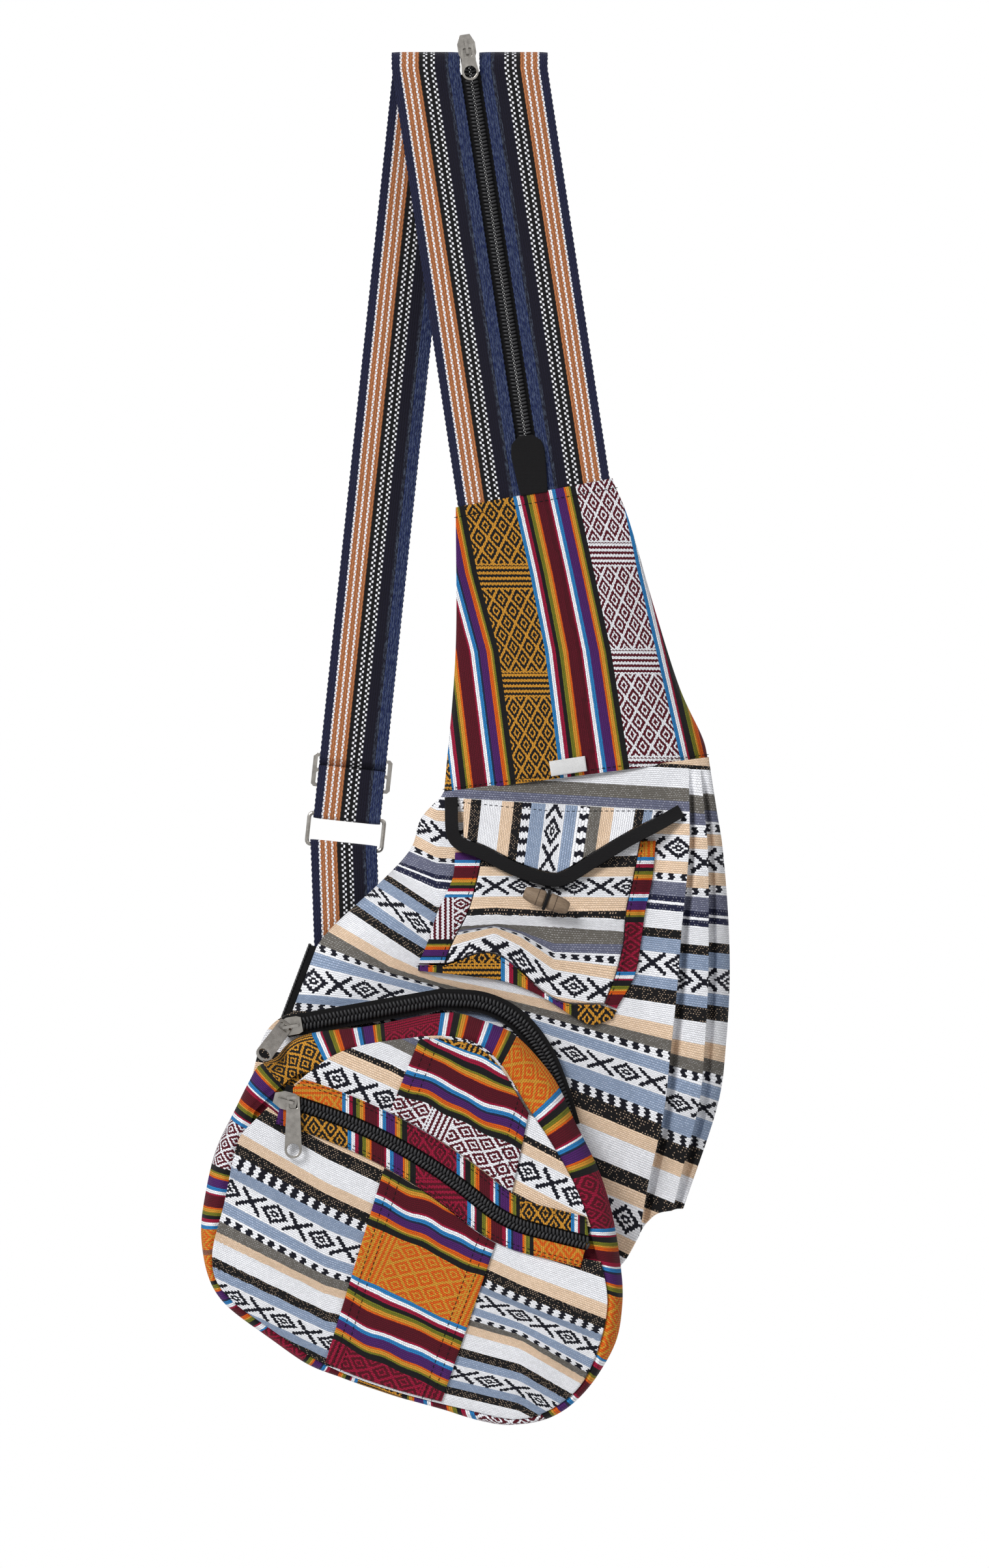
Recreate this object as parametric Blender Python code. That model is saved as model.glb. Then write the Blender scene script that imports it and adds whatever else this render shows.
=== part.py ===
"""Woven cotton sling backpack, as it hangs by its strap.

X points right as seen from the front, Y to the back and Z up. The origin is the underside of the strap
where it passes over whatever it hangs on. Shapes are drawn in millimetres on a front drawing, and the
named sizes below stretch them.
"""
import math

import bmesh
import bpy
from mathutils import Matrix, Vector, geometry

GAP = 0.0003
SEWN_GAP = 0.0005

# Woven bands
BAND_WIDTH = 0.0375
BAND_THICK = 0.0014
ZIP_LANE = 0.011
HANG_RADIUS = 0.009
FRONT_STRAP_LENGTH = 0.241
FRONT_STRAP_LEAN = math.radians(8.6)
BAND_TUCK = 0.012
BACK_RUN_LENGTH = 0.396
LEFT_RUN_LEAN = math.radians(6.1)
RIGHT_RUN_LEAN = math.radians(7.9)

# Adjusters and rings
WIRE_RADIUS = 0.0012
TRIGLIDE_PITCH = 0.0085
HARDWARE_SIDE_ROOM = 0.0012
HARDWARE_Y = 0.016
LOOP_LENGTH = 0.0245
STITCHED_END = 0.0125
RING_PITCH = 0.0175
LOWER_STRAP_LENGTH = {"left": 0.243, "right": 0.190}
LOWER_STRAP_LEAN = {"left": math.radians(-2.2), "right": math.radians(1.0)}

# Yoke
YOKE_SIDE_MARGIN = 0.0015
YOKE_LENGTH = 0.157
YOKE_SHIFT = 0.0235
YOKE_TOP_TILT = math.radians(10.5)
CLOTH_THICK = 0.0012
BACK_CLOTH_THICK = 0.0025

# Body
BACK_FACE_Y = 0.012
BODY_WIDTH = 0.281
BODY_HEIGHT = 0.342
BODY_EDGE_DEPTH = 0.015
BODY_FULLNESS = 0.022
BODY_BOTTOM_SAG = 0.080
HEM_SHARE = 0.955
PLEAT_STEP = 0.004

# Zips: two halves with a running gap between them for the post of the slider
TAPE_THICK = 0.0008
CHAIN_HEIGHT = 0.0030
CHAIN_HALF = 0.0036
CHAIN_SPLIT = 0.0010
TAPE_HALF_STRAP = 0.0140
TAPE_HALF = 0.0059
FACE_TAPE_HALF = 0.0085
SEAM_RIDGE = 0.0018
SLIDER_HALF_WIDTH = 0.0050
SLIDER_NOSE = 0.0070
SLIDER_TAIL = 0.0060
PLATE_THICK = 0.0012
BACK_PLATE_SHARE = 0.8
POST_HALF = 0.0002
BAIL_HALF_WIDTH = 0.0008
BAIL_HALF_LENGTH = 0.0046
BAIL_THICK = 0.0012
BAIL_WINDOW = 0.0028
PULLER_LENGTH = 0.034
STRAP_PULLER_LENGTH = 0.020
STRAP_CHAIN_RISE = 0.0085
PULLER_WIDTH = 0.0095
PULLER_THICK = 0.0012

# Toggle pocket
FLAP_LIFT = 0.0085
TOGGLE_POCKET_FULLNESS = 0.0050
TAG_HEIGHT = 0.0085
BINDING_WIDTH = 0.0073
BINDING_THICK = 0.0026
TOGGLE_LENGTH = 0.0262
TOGGLE_RADIUS = 0.0048
TOGGLE_TILT = math.radians(-20)
TOGGLE_STANDOFF = 0.0085
CORD_RADIUS = 0.0009

# Front pocket
POCKET_WIDTH = 0.232
POCKET_HEIGHT = 0.236
POCKET_BACK_Y = -0.030
POCKET_DEPTH = 0.0285
FACE_FULLNESS = 0.0035
TUBE_FULL_Y = -0.046
ARCH_RIM = 0.0062
EDGE_ROUND = 0.012
WELT_WIDTH = 0.0097
ZIP_END_ROOM = 0.0050
ARCH_PULLER_LEAN = math.radians(54)
ARCH_PULLER_TILT = math.radians(48)
ARCH_WALL = 0.0076
FACE_ZIP_RADIUS = 0.287
FACE_ZIP_SWEEP = math.radians(25)
FACE_ZIP_HEADING = math.radians(-15)
FACE_ZIP_RETURN_RADIUS = 0.0687
FACE_ZIP_TAIL = 0.030

# Side zip of the main compartment
SIDE_ZIP_Y = 0.0022

# Outlines on the front drawing, in millimetres from the middle of the yoke's bottom seam
BODY_DRAWING = (281.0, 342.0)
SEAM_LEFT = (-74.0, -10.0)
SEAM_RIGHT = (74.3, 9.4)
LEFT_SHOULDER = (SEAM_LEFT, (-87, -24), (-92, -40), (-107, -57), (-136, -84), (-145, -95))
LEFT_ZIP_EDGE = ((-145, -95), (-190, -214))
LEFT_FOOT = ((-190, -214), (-196, -240), (-190, -276))
RIGHT_EDGE = (SEAM_RIGHT, (79, -21), (82, -40), (85, -76), (86, -112), (84, -149), (79, -185), (60, -242))
PLEAT_PATHS = (((0.925, 0.875, 0.90)), ((0.965, 0.947, 0.975)))

# Outlines of the front pocket, in millimetres from its own centre
POCKET_DRAWING = (232.0, 236.0)
POCKET_CENTRE = (-90.0, -246.0)
ARCH_OUTLINE = ((-117, -12), (-114, 20), (-104, 50), (-87, 85), (-69, 107.5), (-27, 115), (15, 122.3),
                (38, 120.5), (56, 111.5), (70, 95), (79, 75), (88, 45), (96, 10), (100, -15), (103, -45),
                (99, -71), (82, -95), (56, -105), (30, -103), (-49, -80), (-80, -61), (-107, -41))
TUBE_OUTLINE = ((-117, -12), (-114, 20), (-105, 49), (-85, 88), (-74, 99), (-60, 108), (-42, 113),
                (-13, 116), (22, 114), (44, 109), (58, 101), (76, 80), (92, 49), (105, 20), (111.5, -8),
                (115, -44), (108, -73), (86, -101), (58, -111), (30, -107), (-49, -82), (-80, -63),
                (-107, -41))
FACE_OUTLINE = ((-111, -18), (-104, 13), (-97, 45), (-88, 57), (-66, 77), (-38, 96), (4, 103.5), (24, 103),
                (38, 98), (50, 86), (62, 66), (76, 45), (91, 17), (103, -20), (106.5, -48), (96, -82),
                (80, -99), (58, -107), (30, -102), (-13, -91), (-49, -77), (-78, -58), (-104, -38))
ARCH_RUN = ((-69, 107.5), (15, 122.3))
ARCH_BEND = ((38, 120.5), (56, 111.5), (70, 95), (79, 75), (86, 52))
FACE_ZIP_START = (-72.0, 68.8)
STRIP_LOWER = ((-16, 45), ((-50, -78), (16, -101)))
STRIP_UPPER = ((-13, 54), ((3, 102), (64, 62)))

# Outlines of the toggle pocket on the front drawing
TP_OUTER_LEFT = ((-67.5, -42.5), (-69, -57), (-77, -75), (-83, -93), (-88, -104))
TP_INNER_LEFT = ((-52, -42.5), (-55, -57), (-60, -75), (-69, -93), (-73, -104))
TP_INNER_RIGHT = ((35, -36), (31, -57), (27, -75), (25.5, -93), (21, -111), (15, -126))
TP_OUTER_RIGHT = ((44, -36), (42, -57), (38, -75), (35.5, -93), (32, -111), (22, -129))
TP_FACE_BOTTOM = ((-73, -104), (-45, -98), (-12, -123), (15, -126))
TP_BOTTOM = ((-88, -108), (-64, -110.5), (-40, -114), (-20, -122), (-1, -134), (9, -138), (20, -134.5))
FLAP_TOP = ((-74.5, -12), (57, -20))
FLAP_EDGE = ((-73.5, -12), (-72.5, -32), (-67, -40.5), (-53.7, -46), (-34.7, -55.4), (-15.6, -61.1),
             (-4, -59.3), (13, -49), (32, -37.7), (47, -30), (60, -22.5))
TOGGLE_AT = (-17.0, -68.6)
TAG_AT = ((-14.0, -0.6), (6.0, 2.4))

FINISH = {
    "webbing": ((0.045, 0.060, 0.16), 0.9, 0.0),
    "multicolour": ((0.36, 0.06, 0.07), 0.9, 0.0),
    "jacquard": ((0.62, 0.61, 0.58), 0.9, 0.0),
    "lining": ((0.10, 0.10, 0.11), 0.9, 0.0),
    "zip": ((0.012, 0.012, 0.013), 0.6, 0.0),
    "binding": ((0.015, 0.015, 0.016), 0.9, 0.0),
    "nickel": ((0.55, 0.53, 0.50), 0.3, 1.0),
    "wood": ((0.28, 0.19, 0.12), 0.55, 0.0),
    "tag": ((0.85, 0.85, 0.85), 0.8, 0.0),
}


def clear_scene():
    """Remove every object of the start-up scene."""
    for item in list(bpy.data.objects):
        bpy.data.objects.remove(item)


def make_material(name, finish):
    """A Principled material for one piece."""
    colour, roughness, metallic = FINISH[finish]
    material = bpy.data.materials.new(name)
    material.use_nodes = True
    shader = material.node_tree.nodes["Principled BSDF"]
    shader.inputs["Base Color"].default_value = (*colour, 1.0)
    shader.inputs["Roughness"].default_value = roughness
    shader.inputs["Metallic"].default_value = metallic
    return material


def add_piece(name, points, faces, finish, matrix=None, parent=None):
    """Add one closed mesh, its faces turned outwards, as an object of the scene."""
    mesh = bpy.data.meshes.new(name)
    mesh.from_pydata([tuple(p) for p in points], [], faces)
    work = bmesh.new()
    work.from_mesh(mesh)
    bmesh.ops.recalc_face_normals(work, faces=work.faces)
    work.to_mesh(mesh)
    work.free()
    mesh.shade_smooth()
    mesh.set_sharp_from_angle(angle=math.radians(40))
    item = bpy.data.objects.new(name, mesh)
    bpy.context.collection.objects.link(item)
    if finish:
        mesh.materials.append(make_material(name, finish))
    if parent:
        item.parent = parent
    if matrix is not None:
        item.matrix_world = matrix
    return item


def add_empty(name, place):
    """An empty that marks the axis of a turning piece."""
    item = bpy.data.objects.new(name, None)
    bpy.context.collection.objects.link(item)
    item.location = place
    bpy.context.view_layer.update()
    return item


def ease(value):
    """Smooth step from 0 to 1."""
    value = min(max(value, 0.0), 1.0)
    return value * value * (3 - 2 * value)


def mix(a, b, share):
    """Value or vector a share of the way from a to b."""
    return a + (b - a) * share


def resample(line, count):
    """The line as count + 1 points at even distances."""
    reach = [0.0]
    for a, b in zip(line, line[1:]):
        reach.append(reach[-1] + (b - a).length)
    result = []
    k = 0
    for i in range(count + 1):
        target = reach[-1] * i / count
        while k < len(line) - 2 and reach[k + 1] < target:
            k += 1
        span = reach[k + 1] - reach[k]
        result.append(mix(line[k], line[k + 1], (target - reach[k]) / span if span else 0.0))
    return result


def curve_through(points, count, closed=False):
    """count + 1 evenly spaced points on a smooth curve through the given ones."""
    points = [Vector(p) for p in points]
    total = len(points)
    fine = []
    for i in range(total if closed else total - 1):
        if closed:
            a, b, c, d = (points[(i + k) % total] for k in (-1, 0, 1, 2))
        else:
            b, c = points[i], points[i + 1]
            a = points[i - 1] if i else b * 2 - c
            d = points[i + 2] if i + 2 < total else c * 2 - b
        for k in range(12):
            t = k / 12
            fine.append(0.5 * (2 * b + (c - a) * t + (2 * a - 5 * b + 4 * c - d) * t * t
                               + (3 * b - a - 3 * c + d) * t ** 3))
    fine.append(points[0] if closed else points[-1])
    return resample(fine, count)


def slab(name, front, back, finish):
    """Closed solid between a front and a back grid of points."""
    rows = len(front)
    cols = len(front[0])
    points = [p for row in front for p in row] + [p for row in back for p in row]
    shift = rows * cols
    faces = []
    for r in range(rows - 1):
        for c in range(cols - 1):
            i = r * cols + c
            faces.append((i, i + 1, i + cols + 1, i + cols))
            faces.append((shift + i, shift + i + cols, shift + i + cols + 1, shift + i + 1))
    rim = list(range(cols))
    rim += [r * cols + cols - 1 for r in range(1, rows)]
    rim += [(rows - 1) * cols + c for c in range(cols - 2, -1, -1)]
    rim += [r * cols for r in range(rows - 2, 0, -1)]
    for a, b in zip(rim, rim[1:] + rim[:1]):
        faces.append((a, shift + a, shift + b, b))
    return add_piece(name, points, faces, finish)


def ruled(upper, lower, rows):
    """Grid of (x, z) points between an upper and a lower line of as many points."""
    return [[mix(a, b, r / rows) for a, b in zip(upper, lower)] for r in range(rows + 1)]


def cloth(name, grid, front_y, thick, finish):
    """Sheet of cloth over a grid of (x, z) points, with its front at front_y(x, z)."""
    front = [[Vector((p.x, front_y(p.x, p.y), p.y)) for p in row] for row in grid]
    back = [[p + Vector((0, thick, 0)) for p in row] for row in front]
    return slab(name, front, back, finish)


def filled(name, grid, front_y, back_y, finish):
    """Closed pocket piece over a grid of (x, z) points, from front_y(x, z) to back_y(x, z)."""
    front = [[Vector((p.x, front_y(p.x, p.y), p.y)) for p in row] for row in grid]
    back = [[Vector((p.x, back_y(p.x, p.y), p.y)) for p in row] for row in grid]
    return slab(name, front, back, finish)


def sweep(name, frames, sections, finish, matrix=None, parent=None):
    """Solid with an (across, out) section at each frame of point, across and out; one may serve all."""
    if len(sections) != len(frames) or not isinstance(sections[0], list):
        sections = [sections] * len(frames)
    points = []
    for (point, across, out), section in zip(frames, sections):
        points += [point + across * u + out * n for u, n in section]
    size = len(sections[0])
    faces = [tuple(range(size)), tuple(range(len(points) - size, len(points)))]
    for i in range(len(frames) - 1):
        for j in range(size):
            k = (j + 1) % size
            faces.append((i * size + j, i * size + k, (i + 1) * size + k, (i + 1) * size + j))
    return add_piece(name, points, faces, finish, matrix, parent)


def plate(name, outlines, low, high, finish, matrix=None, parent=None):
    """Flat plate from one outline and any holes in it, between two heights."""
    loops = [[Vector((x, y, 0)) for x, y in loop] for loop in outlines]
    flat = [p for loop in loops for p in loop]
    count = len(flat)
    points = [Vector((p.x, p.y, low)) for p in flat] + [Vector((p.x, p.y, high)) for p in flat]
    faces = []
    for a, b, c in geometry.tessellate_polygon(loops):
        faces.append((a, b, c))
        faces.append((count + c, count + b, count + a))
    start = 0
    for loop in loops:
        size = len(loop)
        for i in range(size):
            a, b = start + i, start + (i + 1) % size
            faces.append((a, b, count + b, count + a))
        start += size
    return add_piece(name, points, faces, finish, matrix, parent)


def box_outline(x_low, x_high, y_low, y_high, corner):
    """Rectangle with cut corners."""
    return [(x_low + corner, y_low), (x_high - corner, y_low), (x_high, y_low + corner),
            (x_high, y_high - corner), (x_high - corner, y_high), (x_low + corner, y_high),
            (x_low, y_high - corner), (x_low, y_low + corner)]


def round_outline(x, y, radius, count=20):
    """Circle as a many-sided outline."""
    return [(x + radius * math.cos(2 * math.pi * k / count), y + radius * math.sin(2 * math.pi * k / count))
            for k in range(count)]


def wrap_line(pegs, turn_step=math.radians(20)):
    """Line drawn tight around round pegs (centre, signed radius); the sign says on which side it turns."""
    line = []
    joins = []
    for (a, ra), (b, rb) in zip(pegs, pegs[1:]):
        reach = b - a
        lean = math.asin((ra - rb) / reach.length)
        along = (Matrix.Rotation(lean, 2) @ reach).normalized()
        left = Vector((-along.y, along.x))
        joins.append((a - left * ra, b - left * rb))
    for i, (centre, radius) in enumerate(pegs):
        entry = joins[i - 1][1] if i else centre
        leave = joins[i][0] if i < len(joins) else centre
        line.append(entry)
        if radius and 0 < i < len(joins):
            start = math.atan2(entry.y - centre.y, entry.x - centre.x)
            turn = math.atan2(leave.y - centre.y, leave.x - centre.x) - start
            if radius > 0:
                turn %= 2 * math.pi
            else:
                turn = -((-turn) % (2 * math.pi))
            steps = max(1, math.ceil(abs(turn) / turn_step))
            for k in range(1, steps):
                angle = start + turn * k / steps
                line.append(centre + Vector((math.cos(angle), math.sin(angle))) * abs(radius))
            line.append(leave)
    return line


def band_frames(points, acrosses):
    """Frames of a band from its middle line and its width directions."""
    frames = []
    last = len(points) - 1
    for i, (point, across) in enumerate(zip(points, acrosses)):
        along = (points[min(i + 1, last)] - points[max(i - 1, 0)]).normalized()
        out = along.cross(across).normalized()
        frames.append((point, across, out))
    return frames


BAND_SECTION = [(-BAND_WIDTH / 2, -BAND_THICK / 2), (BAND_WIDTH / 2, -BAND_THICK / 2),
                (BAND_WIDTH / 2, BAND_THICK / 2), (-BAND_WIDTH / 2, BAND_THICK / 2)]
SIDES = {"left": -1, "right": 1}
FRONT_DOWN = Vector((math.sin(FRONT_STRAP_LEAN), 0, -math.cos(FRONT_STRAP_LEAN)))
FRONT_ACROSS = Vector((math.cos(FRONT_STRAP_LEAN), 0, math.sin(FRONT_STRAP_LEAN)))
CREST = Vector((0, 0, -HANG_RADIUS))
BEND_RADIUS = HANG_RADIUS + BAND_THICK / 2
BAND_OFFSET = (ZIP_LANE + BAND_WIDTH) / 2
STRAP_HALF = BAND_OFFSET + BAND_WIDTH / 2
YOKE_TOP_MIDDLE = CREST + FRONT_DOWN * FRONT_STRAP_LENGTH
SEAM_MIDDLE = Vector((YOKE_TOP_MIDDLE.x + YOKE_SHIFT, 0, YOKE_TOP_MIDDLE.z - YOKE_LENGTH))
BODY_SCALE = (BODY_WIDTH / BODY_DRAWING[0], BODY_HEIGHT / BODY_DRAWING[1])
POCKET_SCALE = (POCKET_WIDTH / POCKET_DRAWING[0], POCKET_HEIGHT / POCKET_DRAWING[1])


def on_body(point):
    """Point (x, z) in metres of a point on the front drawing."""
    return Vector((SEAM_MIDDLE.x + point[0] * BODY_SCALE[0],
                   SEAM_MIDDLE.z + point[1] * BODY_SCALE[1]))


def body_line(points, count):
    """Smooth line through points of the front drawing."""
    return curve_through([on_body(p) for p in points], count)


def run_down(side):
    """Direction in which the band of one side goes down behind the bag."""
    lean = -LEFT_RUN_LEAN if side == "left" else RIGHT_RUN_LEAN
    return Vector((math.sin(lean), 0, -math.cos(lean)))


def across_of(down):
    """Width direction of a band that goes down in the upright plane."""
    return Vector((-down.z, 0, down.x))


def crest_of(side):
    """Point on the axis that the band of one side bends over."""
    return CREST + Vector((BAND_OFFSET / FRONT_ACROSS.x * SIDES[side], 0, 0))


def hardware_place(side):
    """Middle bar of one adjuster."""
    place = crest_of(side) + run_down(side) * BACK_RUN_LENGTH
    return Vector((place.x, HARDWARE_Y, place.z))


WRAP_NEAR = WIRE_RADIUS + GAP + BAND_THICK / 2
WRAP_FAR = WRAP_NEAR + BAND_THICK + GAP


def strap_band(side):
    """One woven band: up the front, over the top, down the back and round adjuster and ring."""
    down = run_down(side)
    across = across_of(down)
    crest = crest_of(side)
    level = Vector((1 / FRONT_ACROSS.x, 0, 0))
    points = []
    acrosses = []
    for share in (1.0, 0.66, 0.33):
        length = (FRONT_STRAP_LENGTH + BAND_TUCK) * share
        points.append(crest + FRONT_DOWN * length + Vector((0, -BEND_RADIUS, 0)))
        acrosses.append(level)
    for k in range(9):
        angle = math.pi * k / 8
        points.append(crest + Vector((0, -BEND_RADIUS * math.cos(angle), BEND_RADIUS * math.sin(angle))))
        acrosses.append(level)
    origin = hardware_place(side)
    start = Vector((BEND_RADIUS - HARDWARE_Y, -BACK_RUN_LENGTH))
    pegs = [(mix(start, Vector((-WRAP_NEAR, 0)), 0.1), 0.0),
            (mix(start, Vector((-WRAP_NEAR, -TRIGLIDE_PITCH)), 0.5), 0.0),
            (Vector((0, -TRIGLIDE_PITCH)), -WRAP_NEAR),
            (Vector((0, 0)), WRAP_FAR),
            (Vector((WRAP_FAR, STITCHED_END + 2 * GAP + BAND_THICK)), 0.0),
            (Vector((0, LOOP_LENGTH)), WRAP_NEAR),
            (Vector((0, 0)), WRAP_NEAR),
            (Vector((WRAP_NEAR, STITCHED_END)), 0.0)]
    for flat in wrap_line(pegs):
        points.append(origin + Vector((0, flat.x, 0)) + down * flat.y)
        acrosses.append(across)
    sweep("strap_band_" + side, band_frames(points, acrosses), BAND_SECTION, "webbing")


def ring_foot(side):
    """Lower bar of the ring of one side."""
    return hardware_place(side) + run_down(side) * (LOOP_LENGTH + RING_PITCH)


def lower_strap(side):
    """Short band from the ring down to the bottom of the back panel."""
    lean = -LOWER_STRAP_LEAN["left"] if side == "left" else LOWER_STRAP_LEAN["right"]
    down = Vector((math.sin(lean), 0, -math.cos(lean)))
    origin = ring_foot(side)
    resting = BACK_FACE_Y + GAP + BAND_THICK / 2 - HARDWARE_Y
    length = LOWER_STRAP_LENGTH[side]
    pegs = [(Vector((WRAP_NEAR, STITCHED_END)), 0.0),
            (Vector((0, 0)), -WRAP_NEAR),
            (Vector((resting, length * 0.35)), 0.0),
            (Vector((resting, length)), 0.0)]
    points = [origin + Vector((0, flat.x, 0)) + down * flat.y for flat in wrap_line(pegs)]
    across = run_down(side)
    start = across_of(across)
    end = across_of(down)
    reach = [abs((p - origin).dot(down)) / length for p in points]
    acrosses = [mix(start, end, ease(share * 4)).normalized() for share in reach]
    sweep("lower_strap_" + side, band_frames(points, acrosses), BAND_SECTION, "webbing")


def hardware_matrix(side, origin):
    """Frame of the metal pieces: across, up and to the front."""
    down = run_down(side)
    across = across_of(down)
    front = Vector((0, -1, 0))
    matrix = Matrix((across, -down, front)).transposed().to_4x4()
    matrix.translation = origin
    return matrix


def triglide(side):
    """Adjuster: a metal frame with a middle bar."""
    inner = BAND_WIDTH / 2 + HARDWARE_SIDE_ROOM
    outer = inner + 2 * WIRE_RADIUS
    bar = WIRE_RADIUS * 0.8
    half = TRIGLIDE_PITCH + bar
    slots = [box_outline(-inner, inner, bar, TRIGLIDE_PITCH - bar, 0.0004),
             box_outline(-inner, inner, bar - TRIGLIDE_PITCH, -bar, 0.0004)]
    outline = box_outline(-outer, outer, -half, half, 0.0015)
    plate("triglide_" + side, [outline] + slots, -bar, bar, "nickel",
          hardware_matrix(side, hardware_place(side)))


def ring(side):
    """Wire loop between the band and the lower strap, with round corners."""
    corner = WIRE_RADIUS * 1.8
    flat = BAND_WIDTH / 2 + GAP
    rise = RING_PITCH / 2 - corner
    centre = hardware_place(side) + run_down(side) * (LOOP_LENGTH + RING_PITCH / 2)
    frame = hardware_matrix(side, centre)
    path = []
    for x, y, start in ((1, -1, -90), (1, 1, 0), (-1, 1, 90), (-1, -1, 180)):
        for k in range(5):
            angle = math.radians(start + 22.5 * k)
            path.append(Vector((x * flat + corner * math.cos(angle), y * rise + corner * math.sin(angle), 0)))
    size = 8
    points = []
    for i, point in enumerate(path):
        along = (path[(i + 1) % len(path)] - path[i - 1]).normalized()
        side_way = Vector((along.y, -along.x, 0))
        for k in range(size):
            angle = 2 * math.pi * k / size
            points.append(point + side_way * WIRE_RADIUS * math.cos(angle)
                          + Vector((0, 0, WIRE_RADIUS * math.sin(angle))))
    faces = []
    for i in range(len(path)):
        j = (i + 1) % len(path)
        for k in range(size):
            m = (k + 1) % size
            faces.append((i * size + k, j * size + k, j * size + m, i * size + m))
    add_piece("ring_" + side, points, faces, "nickel", frame)


def half_section(side, tape_half, ridge=0.0):
    """Section of one zip half: half chain, tape and the seam fold along its outer edge."""
    start = CHAIN_SPLIT / 2
    fold = min(SLIDER_HALF_WIDTH + GAP, mix(CHAIN_HALF, tape_half, 0.5))
    section = [(start, 0), (fold, 0)]
    if ridge:
        fold = SLIDER_HALF_WIDTH + GAP
        section[1] = (fold, 0)
        section += [(fold, -ridge), (tape_half, -ridge)]
    else:
        section.append((tape_half, 0))
    section += [(tape_half, TAPE_THICK), (CHAIN_HALF, TAPE_THICK), (CHAIN_HALF - 0.0005, CHAIN_HEIGHT),
                (start + 0.0004, CHAIN_HEIGHT), (start, CHAIN_HEIGHT - 0.0004)]
    return [(u * side, n) for u, n in section]


def flat_frames(line, y, out=Vector((0, -1, 0))):
    """Frames along a line of (x, z) points that lies in an upright plane."""
    frames = []
    last = len(line) - 1
    for i, p in enumerate(line):
        along = (line[min(i + 1, last)] - line[max(i - 1, 0)]).normalized()
        frames.append((Vector((p.x, y, p.y)), Vector((-along.y, 0, along.x)), out))
    return frames


def slider_outline(share=1.0):
    """Outline of the plates of a zip slider, narrow at its nose."""
    wide = SLIDER_HALF_WIDTH * share
    return [(-wide * 0.8, -SLIDER_TAIL), (wide * 0.8, -SLIDER_TAIL), (wide, -SLIDER_TAIL * 0.6),
            (wide, SLIDER_NOSE * 0.3), (wide * 0.55, SLIDER_NOSE), (-wide * 0.55, SLIDER_NOSE),
            (-wide, SLIDER_NOSE * 0.3), (-wide, -SLIDER_TAIL * 0.6)]


FRONT_PLATE_LOW = CHAIN_HEIGHT + GAP
FRONT_PLATE_HIGH = FRONT_PLATE_LOW + PLATE_THICK
BAIL_LOW = FRONT_PLATE_HIGH + BAIL_WINDOW
BAIL_HIGH = BAIL_LOW + BAIL_THICK
PULLER_HEIGHT = FRONT_PLATE_HIGH + BAIL_WINDOW / 2


def join_to(base, extra):
    """Unite a helper shape with a piece; the helper itself is not a piece."""
    extra.hide_render = True
    extra.display_type = "WIRE"
    union = base.modifiers.new("join_" + extra.name, "BOOLEAN")
    union.operation = "UNION"
    union.object = extra


def slider(name, point, across, along, parent=None):
    """Zip slider: two plates, the post between them and the bail for its puller."""
    out = across.cross(along)
    frame = Matrix((across, along, out)).transposed().to_4x4()
    frame.translation = point
    base = plate(name, [slider_outline()], FRONT_PLATE_LOW, FRONT_PLATE_HIGH, "nickel", frame, parent)
    back = plate(name + "_back_plate", [slider_outline(BACK_PLATE_SHARE)], -GAP - PLATE_THICK, -GAP, None, frame)
    post = plate(name + "_post", [box_outline(-POST_HALF, POST_HALF, 0.0025, 0.0060, 0.00005)],
                 -GAP - PLATE_THICK / 2, FRONT_PLATE_LOW + PLATE_THICK / 2, None, frame)
    reach = BAIL_HALF_LENGTH
    foot = FRONT_PLATE_HIGH - PLATE_THICK / 3
    inner = reach - BAIL_THICK
    side_view = [(-reach, foot), (-inner, foot), (-inner, BAIL_LOW), (inner, BAIL_LOW), (inner, foot),
                 (reach, foot), (reach, BAIL_HIGH - 0.0006), (reach - 0.0006, BAIL_HIGH),
                 (0.0006 - reach, BAIL_HIGH), (-reach, BAIL_HIGH - 0.0006)]
    sideways = Matrix((along, out, across)).transposed().to_4x4()
    sideways.translation = point
    bail = plate(name + "_bail", [side_view], -BAIL_HALF_WIDTH, BAIL_HALF_WIDTH, None, sideways)
    for extra in (back, post, bail):
        join_to(base, extra)
    return base


def puller(name, pivot, across, up, length, parent, reach=0.0, eye_half=0.0023):
    """Flat puller with an eye for the bail and a round hole; its bar is the given reach above its axis."""
    out = across.cross(up)
    frame = Matrix((across, up, out)).transposed().to_4x4()
    frame.translation = pivot
    bar = 0.0009
    top = bar + reach
    neck = eye_half + 0.0012
    half = PULLER_WIDTH / 2
    hole = half - 0.0013
    low = top - length
    outline = [(-neck, top), (neck, top), (neck + 0.0003, top - 0.007), (half, low + half)]
    outline += [(half * math.cos(a), low + half + half * math.sin(a))
                for a in (-math.pi * k / 10 for k in range(1, 10))]
    outline += [(-half, low + half), (-neck - 0.0003, top - 0.007)]
    eye = box_outline(-eye_half, eye_half, top - 2 * bar - 0.0050, top - 2 * bar, 0.0006)
    holes = [eye, round_outline(0, low + half, hole, 16)]
    return plate(name, [outline] + holes, -PULLER_THICK / 2, PULLER_THICK / 2, "nickel", frame, parent)


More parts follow.
